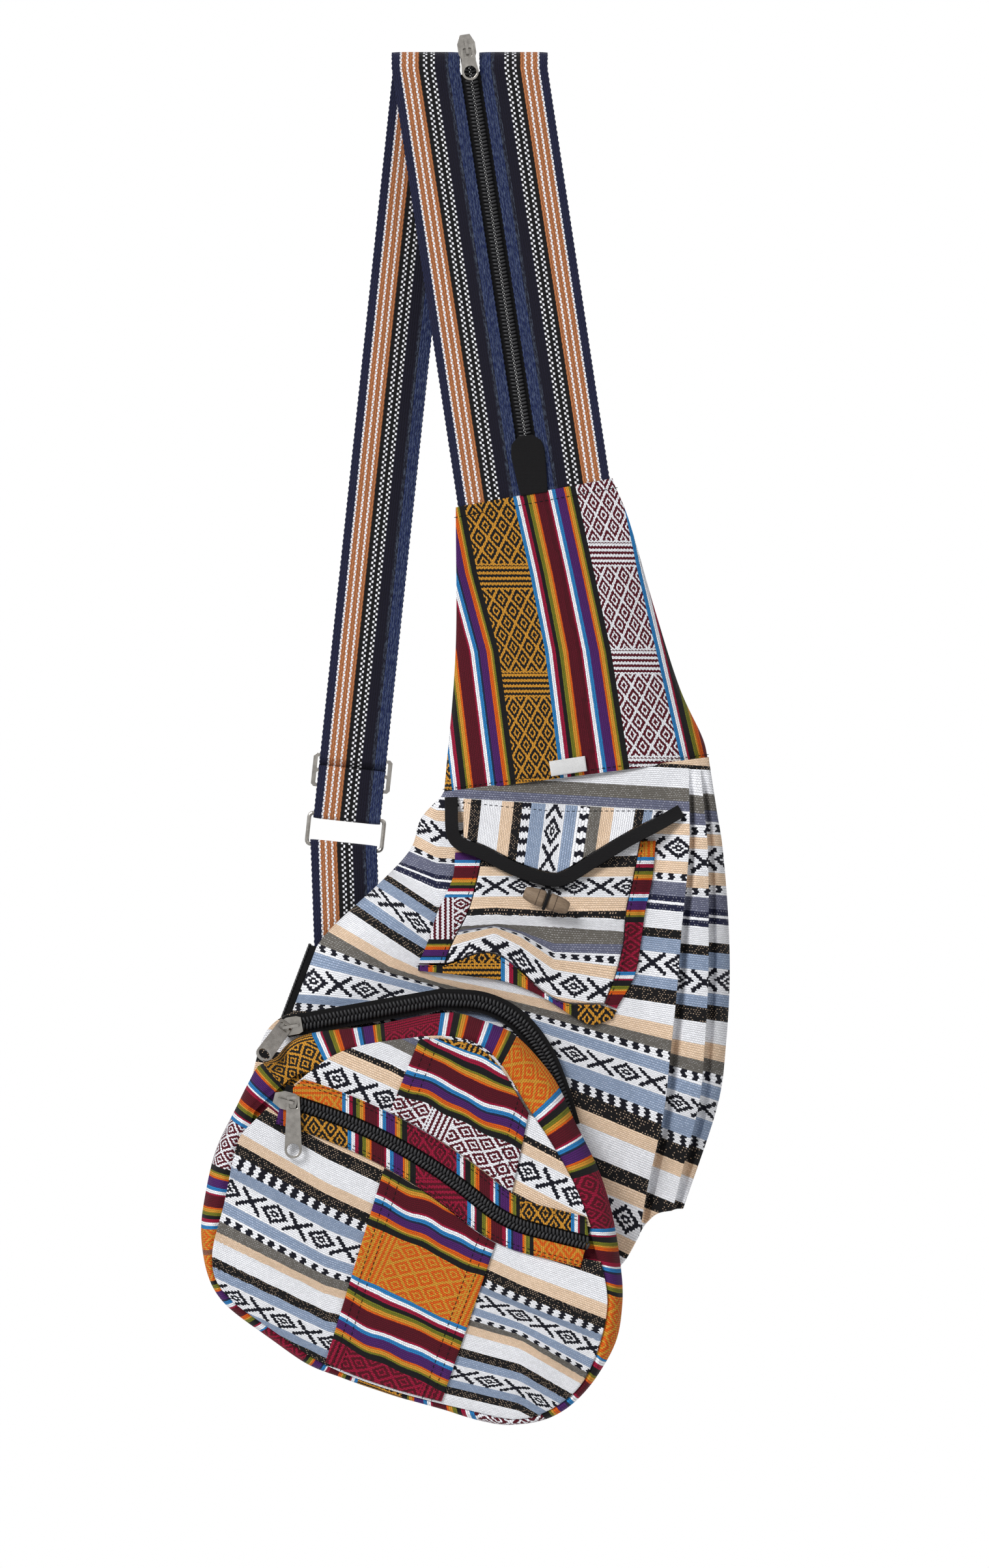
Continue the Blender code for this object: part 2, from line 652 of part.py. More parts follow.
def strap_zip():
    """Zip between the two bands on the front of the strap, with slider, puller and end tab."""
    tape_back = -HANG_RADIUS + GAP + TAPE_THICK
    out = Vector((0, -1, 0))
    tab_length = 0.033
    zip_low = FRONT_STRAP_LENGTH - tab_length * 0.6
    wide_start = TAPE_HALF_STRAP * math.tan(FRONT_STRAP_LEAN) + 2 * GAP
    ends = [CREST + FRONT_DOWN * length
            for length in (-STRAP_CHAIN_RISE, wide_start, wide_start + GAP, zip_low)]
    frames = [(Vector((p.x, tape_back, p.z)), FRONT_ACROSS, out) for p in ends]
    for side, sign in SIDES.items():
        narrow = half_section(sign, CHAIN_HALF + 2 * GAP)
        wide = half_section(sign, TAPE_HALF_STRAP)
        sweep("strap_zip_" + side, frames, [narrow, narrow, wide, wide], "zip")
    rest = CREST + FRONT_DOWN * -(STRAP_CHAIN_RISE + SLIDER_TAIL / 2)
    point = Vector((rest.x, tape_back, rest.z))
    body = slider("strap_slider", point, FRONT_ACROSS, -FRONT_DOWN)
    pivot = point + out * PULLER_HEIGHT
    puller("strap_puller", pivot, FRONT_ACROSS, -FRONT_DOWN, STRAP_PULLER_LENGTH, body)
    tab_y = -HANG_RADIUS - BAND_THICK - GAP
    rows = []
    for share, half in ((0.0, 0.004), (0.12, 0.0085), (0.3, 0.0095), (0.75, 0.0085), (1.0, 0.0075)):
        middle = CREST + FRONT_DOWN * (FRONT_STRAP_LENGTH - tab_length * (1 - share) - GAP)
        rows.append([Vector((middle.x, middle.z)) + Vector((FRONT_ACROSS.x, FRONT_ACROSS.z)) * half * k / 3
                     for k in range(-3, 4)])
    level = min(tab_y, tape_back - CHAIN_HEIGHT - GAP) - CLOTH_THICK
    cloth("strap_zip_end", rows, lambda x, z: level, CLOTH_THICK, "binding")


def yoke_back_y(share):
    """Front face of the yoke's back layer, from the strap down to the back panel."""
    top = -HANG_RADIUS + TAPE_THICK + 2 * GAP
    return mix(top, BACK_FACE_Y - BACK_CLOTH_THICK, ease((share - 0.12) / 0.88))


def yoke_lines(count):
    """Left and right edge of the yoke."""
    lift = Vector((math.cos(YOKE_TOP_TILT), math.sin(YOKE_TOP_TILT)))
    middle = Vector((YOKE_TOP_MIDDLE.x, YOKE_TOP_MIDDLE.z))
    reach = STRAP_HALF + YOKE_SIDE_MARGIN
    top_left = middle - lift * reach
    top_right = middle + lift * reach
    low_left = on_body(SEAM_LEFT) + Vector((0, GAP))
    low_right = on_body(SEAM_RIGHT) + Vector((0, GAP))
    height = top_left.y - low_left.y
    left = [top_left, mix(top_left, low_left, 0.5) + Vector((0.02 * height, 0)), low_left]
    span = low_right - top_right
    right = [top_right] + [top_right + Vector((span.x * x, span.y * y))
                           for x, y in ((0.17, 0.145), (0.43, 0.45), (0.70, 0.74), (0.94, 0.92))]
    right.append(low_right)
    return curve_through(left, count), curve_through(right, count)


def fullness(s, power=2.6):
    """How far a row has swelled at share s of its width, 0 at the edges and 1 in the middle."""
    return max(0.0, 1 - abs(2 * s - 1) ** power) ** 0.6


def yoke():
    """Front and back layer of the yoke; the bands are held between them at the top."""
    rows, cols = 14, 12
    left, right = yoke_lines(rows)
    front = []
    back = []
    inner = []
    outer = []
    for r in range(rows + 1):
        share = r / rows
        base = yoke_back_y(share)
        spread = mix(BAND_THICK + 2 * GAP, GAP, ease((share - 0.15) / 0.2))
        swell = (BACK_FACE_Y + 0.011) * ease(share)
        lines = ([], [], [], [])
        for c in range(cols + 1):
            s = c / cols
            p = mix(left[r], right[r], s)
            y = base - TAPE_THICK - GAP - spread - swell * fullness(s)
            lines[0].append(Vector((p.x, y - CLOTH_THICK, p.y)))
            lines[1].append(Vector((p.x, y, p.y)))
            lines[2].append(Vector((p.x, base, p.y)))
            lines[3].append(Vector((p.x, base + BACK_CLOTH_THICK, p.y)))
        front.append(lines[0])
        back.append(lines[1])
        inner.append(lines[2])
        outer.append(lines[3])
    slab("yoke_front", front, back, "multicolour")
    slab("yoke_back", inner, outer, "lining")


BODY_ROWS = 22
BODY_COLS = 26


def body_edges():
    """Left and right edge of the body, with a straight stretch on the left for the side zip."""
    shoulder = body_line(LEFT_SHOULDER, 24)
    straight = [on_body(p) for p in LEFT_ZIP_EDGE]
    foot = body_line(LEFT_FOOT, 12)
    left = resample(shoulder + straight[1:] + foot[1:], 110)
    right = resample(body_line(RIGHT_EDGE, 60), 110)
    return left, right


BODY_LEFT, BODY_RIGHT = body_edges()


def edge_at(line, t):
    """Point at share t of a finely sampled edge."""
    place = min(max(t, 0.0), 1.0) * (len(line) - 1)
    k = min(int(place), len(line) - 2)
    return mix(line[k], line[k + 1], place - k)


def body_point(s, t):
    """Point (x, z) of the body at share s across and t down."""
    p = mix(edge_at(BODY_LEFT, t), edge_at(BODY_RIGHT, t), s)
    sag = max(0.0, math.sin(math.pi * s)) ** 1.3 * ease((HEM_SHARE - s) / 0.09)
    return p - Vector((0, BODY_BOTTOM_SAG * t ** 4 * sag))


def pleat_share(path, t):
    """Share across at which one pleat edge runs, from three shares at top, middle and bottom."""
    return curve_value(path, t)


def curve_value(values, t):
    """Value of a parabola through three values at 0, 0.5 and 1."""
    a, b, c = values
    return a * (1 - t) * (1 - 2 * t) + 4 * b * t * (1 - t) + c * t * (2 * t - 1)


def pleat_depth(s, t):
    """Depth of the knife pleats: each comes forward towards its edge and drops back behind it."""
    depth = 0.0
    width = 0.07
    for path in PLEAT_PATHS:
        edge = pleat_share(path, t)
        if edge - width < s <= edge:
            depth = max(depth, (s - edge + width) / width)
    return PLEAT_STEP * depth * ease(t / 0.12) * (1 - 0.6 * ease((t - 0.9) / 0.1))


def body_swell(t):
    """How far the body swells forward at share t down."""
    rise = 0.32 + 0.68 * ease(t / 0.30)
    return BODY_FULLNESS * rise * (1 - 0.75 * ease((t - 0.72) / 0.28))


def body_front_y(s, t):
    """Front surface of the body."""
    edge = BACK_FACE_Y - BACK_CLOTH_THICK - GAP - BODY_EDGE_DEPTH
    return edge - body_swell(t) * fullness(s, 5.0) - pleat_depth(s, t)


def locate(x, z):
    """Shares (s, t) of the body at a point (x, z)."""
    low, high = 0.0, 1.0
    s = 0.5
    for _ in range(26):
        t = (low + high) / 2
        a, b = edge_at(BODY_LEFT, t), edge_at(BODY_RIGHT, t)
        s = min(max((x - a.x) / (b.x - a.x), 0.0), 1.0)
        if body_point(s, t).y > z:
            low = t
        else:
            high = t
    return s, (low + high) / 2


def body_y(x, z):
    """Front surface of the body at any point (x, z)."""
    s, t = locate(x, z)
    return body_front_y(s, t)


def body_columns(t):
    """Shares across at which the body has points: even ones and both sides of each pleat edge."""
    first = pleat_share(PLEAT_PATHS[0], t)
    second = pleat_share(PLEAT_PATHS[1], t)
    plain = [(first - 0.07) * k / 16 for k in range(17)]
    step = 0.004
    return plain + [first - 0.035, first - step, first, first + step, mix(first, second, 0.5),
                    second - step, second, second + step, 1.0]


def body():
    """Pleated front with the closed main compartment, and the flat back panel."""
    front = []
    back = []
    for r in range(BODY_ROWS + 1):
        t = r / BODY_ROWS
        front.append([])
        back.append([])
        for s in body_columns(t):
            p = body_point(s, t)
            front[-1].append(Vector((p.x, body_front_y(s, t), p.y)))
            back[-1].append(Vector((p.x, BACK_FACE_Y - BACK_CLOTH_THICK - GAP, p.y)))
    slab("body_front", front, back, "jacquard")
    panel_front = []
    panel_back = []
    for r in range(BODY_ROWS + 1):
        t = r / BODY_ROWS
        row = [body_point(k / 12, t) for k in range(13)]
        panel_front.append([Vector((p.x, BACK_FACE_Y - BACK_CLOTH_THICK, p.y)) for p in row])
        panel_back.append([Vector((p.x, BACK_FACE_Y, p.y)) for p in row])
    slab("body_back", panel_front, panel_back, "lining")


def tag():
    """Small folded tag caught in the seam between yoke and body, blank."""
    low = on_body(TAG_AT[0])
    high = on_body(TAG_AT[1])
    along = (high - low)
    up = Vector((-along.y, along.x)).normalized()
    start = low + up * GAP
    rows = [[start + along * k / 4 + up * TAG_HEIGHT * r / 3 for k in range(5)] for r in range(4)]
    level = yoke_back_y(1.0) - TAPE_THICK - 2 * GAP - (BACK_FACE_Y + 0.011) - CLOTH_THICK
    cloth("tag", rows, lambda x, z: level - SEWN_GAP - CLOTH_THICK, CLOTH_THICK, "tag")


def side_zip():
    """Zip of the main compartment along the left edge, seen from the side."""
    top, foot = (on_body(p) for p in LEFT_ZIP_EDGE)
    along = (foot - top).normalized()
    out = Vector((along.y, 0, -along.x))
    down = Vector((along.x, 0, along.y))
    seat = GAP + SEAM_RIDGE
    across = Vector((0, 1, 0))
    points = [mix(top, foot, share) for share in (0.01, 0.99)]
    frames = [(Vector((p.x, SIDE_ZIP_Y, p.y)) + out * seat, across, out) for p in points]
    sweep("side_zip_back", frames, half_section(1, TAPE_HALF, SEAM_RIDGE), "zip")
    sweep("side_zip_front", frames, half_section(-1, TAPE_HALF, SEAM_RIDGE), "zip")
    point = frames[1][0] - down * 0.004
    body = slider("side_slider", point, across, down)
    pivot = point + out * PULLER_HEIGHT
    puller("side_puller", pivot, across, -down, PULLER_LENGTH, body)


def toggle_pocket_lift(x, z):
    """How far the toggle pocket stands off the body."""
    left = on_body(TP_OUTER_LEFT[0])
    right = on_body(TP_OUTER_RIGHT[0])
    low = on_body(TP_BOTTOM[2])
    drop = (left.y - z) / (left.y - low.y)
    lean = (on_body(TP_OUTER_LEFT[-1]).x - left.x) * drop
    s = (x - left.x - lean) / (right.x - left.x - 0.1 * lean)
    swell = fullness(min(max(s, 0.0), 1.0), 4.0)
    return TOGGLE_POCKET_FULLNESS * swell * (1 - 0.7 * ease((drop - 0.6) / 0.4))


def toggle_pocket_y(x, z):
    """Front surface of the toggle pocket's cloth."""
    return body_y(x, z) - SEWN_GAP - CLOTH_THICK - toggle_pocket_lift(x, z)


def inset(line, distance):
    """Line moved to its right-hand side, seen along it."""
    result = []
    last = len(line) - 1
    for i, p in enumerate(line):
        along = (line[min(i + 1, last)] - line[max(i - 1, 0)]).normalized()
        result.append(p + Vector((along.y, -along.x)) * distance)
    return result


def seat(x, z):
    """Back of what is sewn flat on the body."""
    return body_y(x, z) - SEWN_GAP


def toggle_pocket():
    """Closed patch pocket: face, two side strips and a bottom strip, edge to edge."""
    count = 10
    outer_left = body_line(TP_OUTER_LEFT, count)
    inner_left = body_line(TP_INNER_LEFT, count)
    inner_right = body_line(TP_INNER_RIGHT, count)
    outer_right = body_line(TP_OUTER_RIGHT, count)
    bottom = body_line(TP_FACE_BOTTOM, count)
    top = resample([inner_left[0], inner_right[0]], count)
    grid = coons(top, bottom, inner_left, inner_right)
    filled("toggle_pocket_face", grid, toggle_pocket_y, seat, "jacquard")
    left_edge = inset(inner_left, SEWN_GAP)
    right_edge = inset(inner_right, -SEWN_GAP)
    strips = {"left": (outer_left, left_edge), "right": (right_edge, outer_right)}
    for side, (a, b) in strips.items():
        rows = [[mix(p, q, k / 3) for k in range(4)] for p, q in zip(a, b)]
        filled("toggle_pocket_side_" + side, rows, toggle_pocket_y, seat, "multicolour")
    upper = resample([outer_left[-1]] + bottom[:-1] + [outer_right[-1]], 14)
    upper = [p - Vector((0, 2 * SEWN_GAP)) for p in upper]
    lower = body_line(TP_BOTTOM, 14)
    filled("toggle_pocket_bottom", ruled(upper, lower, 3), toggle_pocket_y, seat, "multicolour")


def coons(top, bottom, left, right):
    """Grid between four border lines, with as many rows as left and columns as top."""
    rows = len(left) - 1
    cols = len(top) - 1
    grid = []
    for r in range(rows + 1):
        v = r / rows
        grid.append([])
        for c in range(cols + 1):
            u = c / cols
            along = mix(top[c], bottom[c], v) + mix(left[r], right[r], u)
            corners = mix(mix(top[0], top[-1], u), mix(bottom[0], bottom[-1], u), v)
            grid[-1].append(along - corners)
    return grid


def flap_lift(x, z):
    """How far the flap stands off the body: sewn down at the top, over the pocket further down."""
    a, b = (on_body(p) for p in FLAP_TOP)
    top = mix(a.y, b.y, (x - a.x) / (b.x - a.x))
    return mix(SEWN_GAP, FLAP_LIFT, ease((top - z) / 0.018))


def flap_y(x, z):
    """Front surface of the flap's cloth."""
    return body_y(x, z) - CLOTH_THICK - flap_lift(x, z)


def flap():
    """Pointed flap with its black binding and the loop for the toggle."""
    edge = body_line(FLAP_EDGE, 26)
    inner = inset(edge, -BINDING_WIDTH)
    top = [on_body(p) for p in FLAP_TOP]
    inner_edge = inset(edge, -BINDING_WIDTH - SEWN_GAP)
    corner = next(k for k in range(2, 20) if edge[k].x - edge[k - 1].x > edge[k - 1].y - edge[k].y)
    slope = (top[1].y - top[0].y) / (top[1].x - top[0].x)
    pairs = [(Vector((p.x, top[0].y + slope * (p.x - top[0].x))), p) for p in inner_edge[corner:-1]]
    pairs = [(a, b) for a, b in pairs if a.y - b.y > 0.0012]
    upper = [a for a, b in pairs]
    lower = [b for a, b in pairs]
    cloth("flap", ruled(upper, lower, 6), flap_y, CLOTH_THICK, "jacquard")
    rows = [[mix(a, b, k / 2) for k in range(3)] for a, b in zip(edge, inner)]
    cloth("flap_binding", rows, lambda x, z: flap_y(x, z) - (BINDING_THICK - CLOTH_THICK),
          BINDING_THICK, "binding")
    tip = min(edge, key=lambda p: p.y)
    middle = Vector((tip.x, tip.y - SEWN_GAP))
    cord_top = on_body(TOGGLE_AT).y + CORD_REACH + CORD_RADIUS
    length = middle.y - cord_top - GAP
    rows = [[middle + Vector((0.006 * (k / 2 - 1) * (1 - 0.25 * r / 2), -length * r / 2)) for k in range(5)]
            for r in range(3)]
    cloth("flap_loop", rows, lambda x, z: flap_y(x, z), CLOTH_THICK, "binding")


TOGGLE_GROOVE = TOGGLE_RADIUS * 0.80
CORD_REACH = TOGGLE_GROOVE + GAP + CORD_RADIUS


def turned_solid(name, profile, count, finish, matrix, parent=None):
    """Solid of revolution about local X from (x, radius) pairs that start and end off the axis."""
    points = []
    for x, radius in profile:
        for k in range(count):
            angle = 2 * math.pi * k / count
            points.append(Vector((x, radius * math.cos(angle), radius * math.sin(angle))))
    faces = [tuple(range(count)), tuple(range(len(points) - count, len(points)))]
    for i in range(len(profile) - 1):
        for k in range(count):
            m = (k + 1) % count
            faces.append((i * count + k, i * count + m, (i + 1) * count + m, (i + 1) * count + k))
    return add_piece(name, points, faces, finish, matrix, parent)


def toggle():
    """Wooden barrel on a cord that comes out of the pocket's face."""
    place = on_body(TOGGLE_AT)
    face = toggle_pocket_y(place.x, place.y)
    centre = Vector((place.x, face - TOGGLE_STANDOFF, place.y))
    half = TOGGLE_LENGTH / 2
    width = CORD_RADIUS + GAP
    profile = [(-half, TOGGLE_RADIUS * 0.55), (-half * 0.94, TOGGLE_RADIUS * 0.70),
               (-half * 0.55, TOGGLE_RADIUS * 0.94), (-width * 1.8, TOGGLE_RADIUS), (-width, TOGGLE_GROOVE),
               (width, TOGGLE_GROOVE), (width * 1.8, TOGGLE_RADIUS), (half * 0.55, TOGGLE_RADIUS * 0.94),
               (half * 0.94, TOGGLE_RADIUS * 0.70), (half, TOGGLE_RADIUS * 0.55)]
    frame = Matrix.Rotation(-TOGGLE_TILT, 4, "Y")
    frame.translation = centre
    barrel = turned_solid("toggle", profile, 20, "wood", frame)
    reach = CORD_REACH
    legs = TOGGLE_STANDOFF - GAP - 0.0006
    path = [Vector((0, legs, reach)), Vector((0, legs * 0.4, reach))]
    path += [Vector((0, -reach * math.sin(a), reach * math.cos(a)))
             for a in (math.pi * k / 10 for k in range(11))]
    path += [Vector((0, legs * 0.4, -reach)), Vector((0, legs, -reach))]
    path = [Vector((0, p.y, p.z)) for p in path]
    round_section = [(CORD_RADIUS * math.cos(math.pi * k / 4), CORD_RADIUS * math.sin(math.pi * k / 4))
                     for k in range(8)]
    frames = band_frames(path, [Vector((1, 0, 0))] * len(path))
    sweep("toggle_cord", frames, round_section, "binding", frame, barrel)


def polar(outline, count=64):
    """Radius of a pocket outline, in metres, at even angles about the pocket's centre."""
    line = curve_through([Vector((x * POCKET_SCALE[0], z * POCKET_SCALE[1])) for x, z in outline],
                         360, closed=True)
    marks = sorted((math.atan2(p.y, p.x) % (2 * math.pi), p.length) for p in line)
    marks = [(marks[-1][0] - 2 * math.pi, marks[-1][1])] + marks + [(marks[0][0] + 2 * math.pi, marks[0][1])]
    result = []
    k = 0
    for i in range(count):
        angle = 2 * math.pi * i / count
        while marks[k + 1][0] < angle:
            k += 1
        (a, ra), (b, rb) = marks[k], marks[k + 1]
        result.append(mix(ra, rb, (angle - a) / (b - a) if b > a else 0.0))
    return result


POLAR_COUNT = 64
ARCH_RADII = polar(ARCH_OUTLINE)
TUBE_RADII = polar(TUBE_OUTLINE)
FACE_RADII = polar(FACE_OUTLINE)
POCKET_MIDDLE = on_body(POCKET_CENTRE)
POCKET_FACE_Y = POCKET_BACK_Y - POCKET_DEPTH


def pocket_point(point):
    """Point (x, z) of a point on the pocket's drawing."""
    return POCKET_MIDDLE + Vector((point[0] * POCKET_SCALE[0], point[1] * POCKET_SCALE[1]))


def radius_at(radii, angle):
    """Radius at any angle."""
    place = (angle % (2 * math.pi)) / (2 * math.pi) * POLAR_COUNT
    k = int(place)
    return mix(radii[k % POLAR_COUNT], radii[(k + 1) % POLAR_COUNT], place - k)


def pocket_xz(i, radius):
    """Point (x, z) on ray i of the pocket."""
    angle = 2 * math.pi * i / POLAR_COUNT
    return POCKET_MIDDLE + Vector((math.cos(angle), math.sin(angle))) * radius


def ringed_solid(name, rings, first_y, last_y, finish):
    """Closed solid from rings of points, closed by a middle point at each end."""
    points = [p for loop in rings for p in loop]
    size = POLAR_COUNT
    faces = []
    for i in range(len(rings) - 1):
        for k in range(size):
            m = (k + 1) % size
            faces.append((i * size + k, i * size + m, (i + 1) * size + m, (i + 1) * size + k))
    points.append(Vector((POCKET_MIDDLE.x, first_y, POCKET_MIDDLE.y)))
    points.append(Vector((POCKET_MIDDLE.x, last_y, POCKET_MIDDLE.y)))
    for k in range(size):
        m = (k + 1) % size
        faces.append((len(points) - 2, m, k))
        faces.append((len(points) - 1, (len(rings) - 1) * size + k, (len(rings) - 1) * size + m))
    return add_piece(name, points, faces, finish)


def arch_share(i):
    """1 on the rays that cross the arch zip, 0 well below it, with a smooth change between."""
    angle = 360.0 * i / POLAR_COUNT
    from_top = abs((angle - 75 + 180) % 360 - 180)
    return 1 - ease((from_top - 52) / 18)


def pocket_rim(i):
    """How far the pocket's base reaches beyond the arch line."""
    return ARCH_RIM * arch_share(i) - 0.003 * (1 - arch_share(i))


def pocket_clearance(share):
    """Room between body and pocket, which only touch along the seam."""
    return mix(0.0022, 0.0008, share ** 4)


def pocket_back():
    """Base of the front pocket: fills the space to the body and carries the outer half of the arch zip."""
    rings = []
    for share in (0.15, 0.3, 0.45, 0.6, 0.75, 0.9, 1.0):
        rings.append([])
        for i in range(POLAR_COUNT):
            reach = (ARCH_RADII[i] + pocket_rim(i)) * share
            p = pocket_xz(i, reach)
            within = pocket_xz(i, reach - EDGE_ROUND * share)
            y = body_y(within.x, within.y) - pocket_clearance(share)
            rings[-1].append(Vector((p.x, max(y, POCKET_BACK_Y + 0.0008), p.y)))
    for share in (1.0, 0.85, 0.5):
        rings.append([])
        for i in range(POLAR_COUNT):
            p = pocket_xz(i, (ARCH_RADII[i] + pocket_rim(i)) * share)
            rings[-1].append(Vector((p.x, POCKET_BACK_Y, p.y)))
    first = body_y(POCKET_MIDDLE.x, POCKET_MIDDLE.y) - pocket_clearance(0)
    ringed_solid("pocket_back", rings, first, POCKET_BACK_Y, "jacquard")


ZIP_SEAT = POCKET_BACK_Y - GAP - SEAM_RIDGE
FACE_TAPE_BACK = POCKET_FACE_Y + CLOTH_THICK


def zip_end_share(i):
    """1 on the rays beside the left end of the face zip, where its slider reaches under the tube."""
    start = face_zip_start() - POCKET_MIDDLE
    away = 2 * math.pi * i / POLAR_COUNT - math.atan2(start.y, start.x)
    away = abs((away + math.pi) % (2 * math.pi) - math.pi)
    return 1 - ease((away - 0.13) / 0.12)


def slider_run_share(i):
    """1 on the rays that the arch slider passes, where the tube leans back to leave its puller room."""
    angle = 360.0 * i / POLAR_COUNT
    return ease((angle - 64) / 16) * (1 - ease((angle - 128) / 8))


def pocket_gusset():
    """Gusset of the front pocket, puffed out like a tube, with the closed pocket inside it."""
    seat_high = ZIP_SEAT - TAPE_THICK - GAP
    seat_low = POCKET_BACK_Y - GAP
    inner_y = FACE_TAPE_BACK + GAP
    recess_y = inner_y + 0.0024
    rings = [[] for _ in range(12)]
    for i in range(POLAR_COUNT):
        arch = arch_share(i)
        back_y = mix(seat_low, seat_high, arch)
        foot = min(ARCH_RADII[i], TUBE_RADII[i]) - mix(0.004, 0.009, arch)
        tube = TUBE_RADII[i]
        face = FACE_RADII[i] + ZIP_END_ROOM * zip_end_share(i)
        reach = tube - face
        steps = ((foot * 0.5, back_y), (foot * 0.85, back_y), (foot, back_y),
                 (mix(foot, tube, 0.55), mix(back_y, TUBE_FULL_Y, 0.30)),
                 (mix(foot, tube, 0.92), mix(back_y, TUBE_FULL_Y, 0.70)),
                 (tube, TUBE_FULL_Y), (face + reach * 0.72, mix(TUBE_FULL_Y, inner_y, 0.75)),
                 (face + reach * 0.30, inner_y - 0.0008), (face, inner_y), (face - 0.0018, inner_y),
                 (face - 0.0024, recess_y), (face * 0.5, recess_y))
        wall = ARCH_RADII[i] - ARCH_WALL
        bank = ((wall * 0.5, back_y), (wall * 0.85, back_y), (wall, back_y),
                (wall, mix(back_y, TUBE_FULL_Y, 0.35)), (wall - 0.0004, mix(back_y, TUBE_FULL_Y, 0.62)),
                (wall - 0.0027, TUBE_FULL_Y), (mix(face, wall, 0.32), mix(TUBE_FULL_Y, inner_y, 0.66)),
                (mix(face, wall, 0.12), inner_y + 0.0005)) + steps[8:]
        share = slider_run_share(i)
        steps = [(mix(a, c, share), mix(b, d, share)) for (a, b), (c, d) in zip(steps, bank)]
        for k, (radius, y) in enumerate(steps):
            p = pocket_xz(i, radius)
            rings[k].append(Vector((p.x, y, p.y)))
    ringed_solid("pocket_gusset", rings, seat_low, recess_y, "multicolour")


def arch_line():
    """Line of the arch zip: a straight run on the left and the bend down the right side."""
    run = [pocket_point(p) for p in ARCH_RUN]
    curve = curve_through([run[1]] + [pocket_point(p) for p in ARCH_BEND], 16)
    return run, run[:1] + curve


def arch_zip():
    """Zip round the top of the front pocket, with its slider at the left end."""
    run, line = arch_line()
    along = (run[1] - run[0]).normalized()
    line[0] = run[0] - along * 0.002
    frames = flat_frames(line, ZIP_SEAT)
    sweep("arch_zip_outer", frames, half_section(1, TAPE_HALF, SEAM_RIDGE), "zip")
    sweep("arch_zip_inner", frames, half_section(-1, TAPE_HALF, SEAM_RIDGE), "zip")
    rest = run[0] + along * 0.001
    point = Vector((rest.x, ZIP_SEAT, rest.y))
    forward = Vector((-along.x, 0, -along.y))
    across = forward.cross(Vector((0, -1, 0)))
    body = slider("arch_slider", point, across, forward)
    inside = 0.0023
    height = FRONT_PLATE_HIGH + BAIL_WINDOW / 2 + inside * math.tan(ARCH_PULLER_TILT)
    pivot = point + Vector((0, -height, 0)) + forward * (BAIL_HALF_LENGTH - BAIL_THICK / 2)
    flat = math.cos(ARCH_PULLER_TILT)
    hang_up = Vector((math.cos(ARCH_PULLER_LEAN) * flat, math.sin(ARCH_PULLER_TILT),
                      math.sin(ARCH_PULLER_LEAN) * flat))
    across = hang_up.cross(Vector((0, -1, 0))).normalized()
    puller("arch_puller", pivot, across, hang_up, PULLER_LENGTH, body, inside / flat, 0.00285)


def face_zip_start():
    """Left end of the zip in the pocket's face."""
    return pocket_point(FACE_ZIP_START)


def face_zip_line(step=math.radians(2)):
    """Line of the zip in the pocket's face: a long arc, a short one back and a straight end."""
    line = []
    heading = FACE_ZIP_HEADING
    centre = face_zip_centre()
    count = round(FACE_ZIP_SWEEP / step)
    for k in range(count + 1):
        angle = heading + math.pi / 2 - FACE_ZIP_SWEEP * k / count
        line.append(centre + Vector((math.cos(angle), math.sin(angle))) * FACE_ZIP_RADIUS)
    heading -= FACE_ZIP_SWEEP
    back = line[-1] + Vector((-math.sin(heading), math.cos(heading))) * FACE_ZIP_RETURN_RADIUS
    turn = FACE_ZIP_SWEEP * 1.04
    for k in range(1, 8):
        angle = heading - math.pi / 2 + turn * k / 7
        line.append(back + Vector((math.cos(angle), math.sin(angle))) * FACE_ZIP_RETURN_RADIUS)
    heading += turn
    for k in range(1, 4):
        line.append(line[-1] + Vector((math.cos(heading), math.sin(heading))) * FACE_ZIP_TAIL / 3)
    return line


def face_zip_centre():
    """Centre of the long arc, which the slider turns about."""
    heading = FACE_ZIP_HEADING
    return face_zip_start() + Vector((math.sin(heading), -math.cos(heading))) * FACE_ZIP_RADIUS


FACE_LINE = face_zip_line()


def face_lift(x, z):
    """How far the pocket's face swells away from the plane of its zip."""
    p = Vector((x, z))
    near = min((p - q).length for q in FACE_LINE)
    offset = p - POCKET_MIDDLE
    edge = radius_at(FACE_RADII, math.atan2(offset.y, offset.x)) - offset.length
    return FACE_FULLNESS * ease((near - WELT_WIDTH) / 0.070) * ease(edge / 0.030)


def face_y(x, z):
    """Front surface of the pocket's face."""
    return POCKET_FACE_Y - face_lift(x, z)


def outline_between(start, end, count, clockwise):
    """Points of the face outline from one angle to another."""
    span = (start - end) % (2 * math.pi) if clockwise else (end - start) % (2 * math.pi)
    sign = -1 if clockwise else 1
    result = []
    for k in range(count + 1):
        angle = start + sign * span * k / count
        radius = radius_at(FACE_RADII, angle) - SEWN_GAP
        result.append(POCKET_MIDDLE + Vector((math.cos(angle), math.sin(angle))) * radius)
    return result


def trimmed(line):
    """The part of a line that lies inside the face outline."""
    kept = []
    for p in resample(line, 60):
        offset = p - POCKET_MIDDLE
        if offset.length < radius_at(FACE_RADII, math.atan2(offset.y, offset.x)) - 0.001:
            kept.append(p)
    return kept


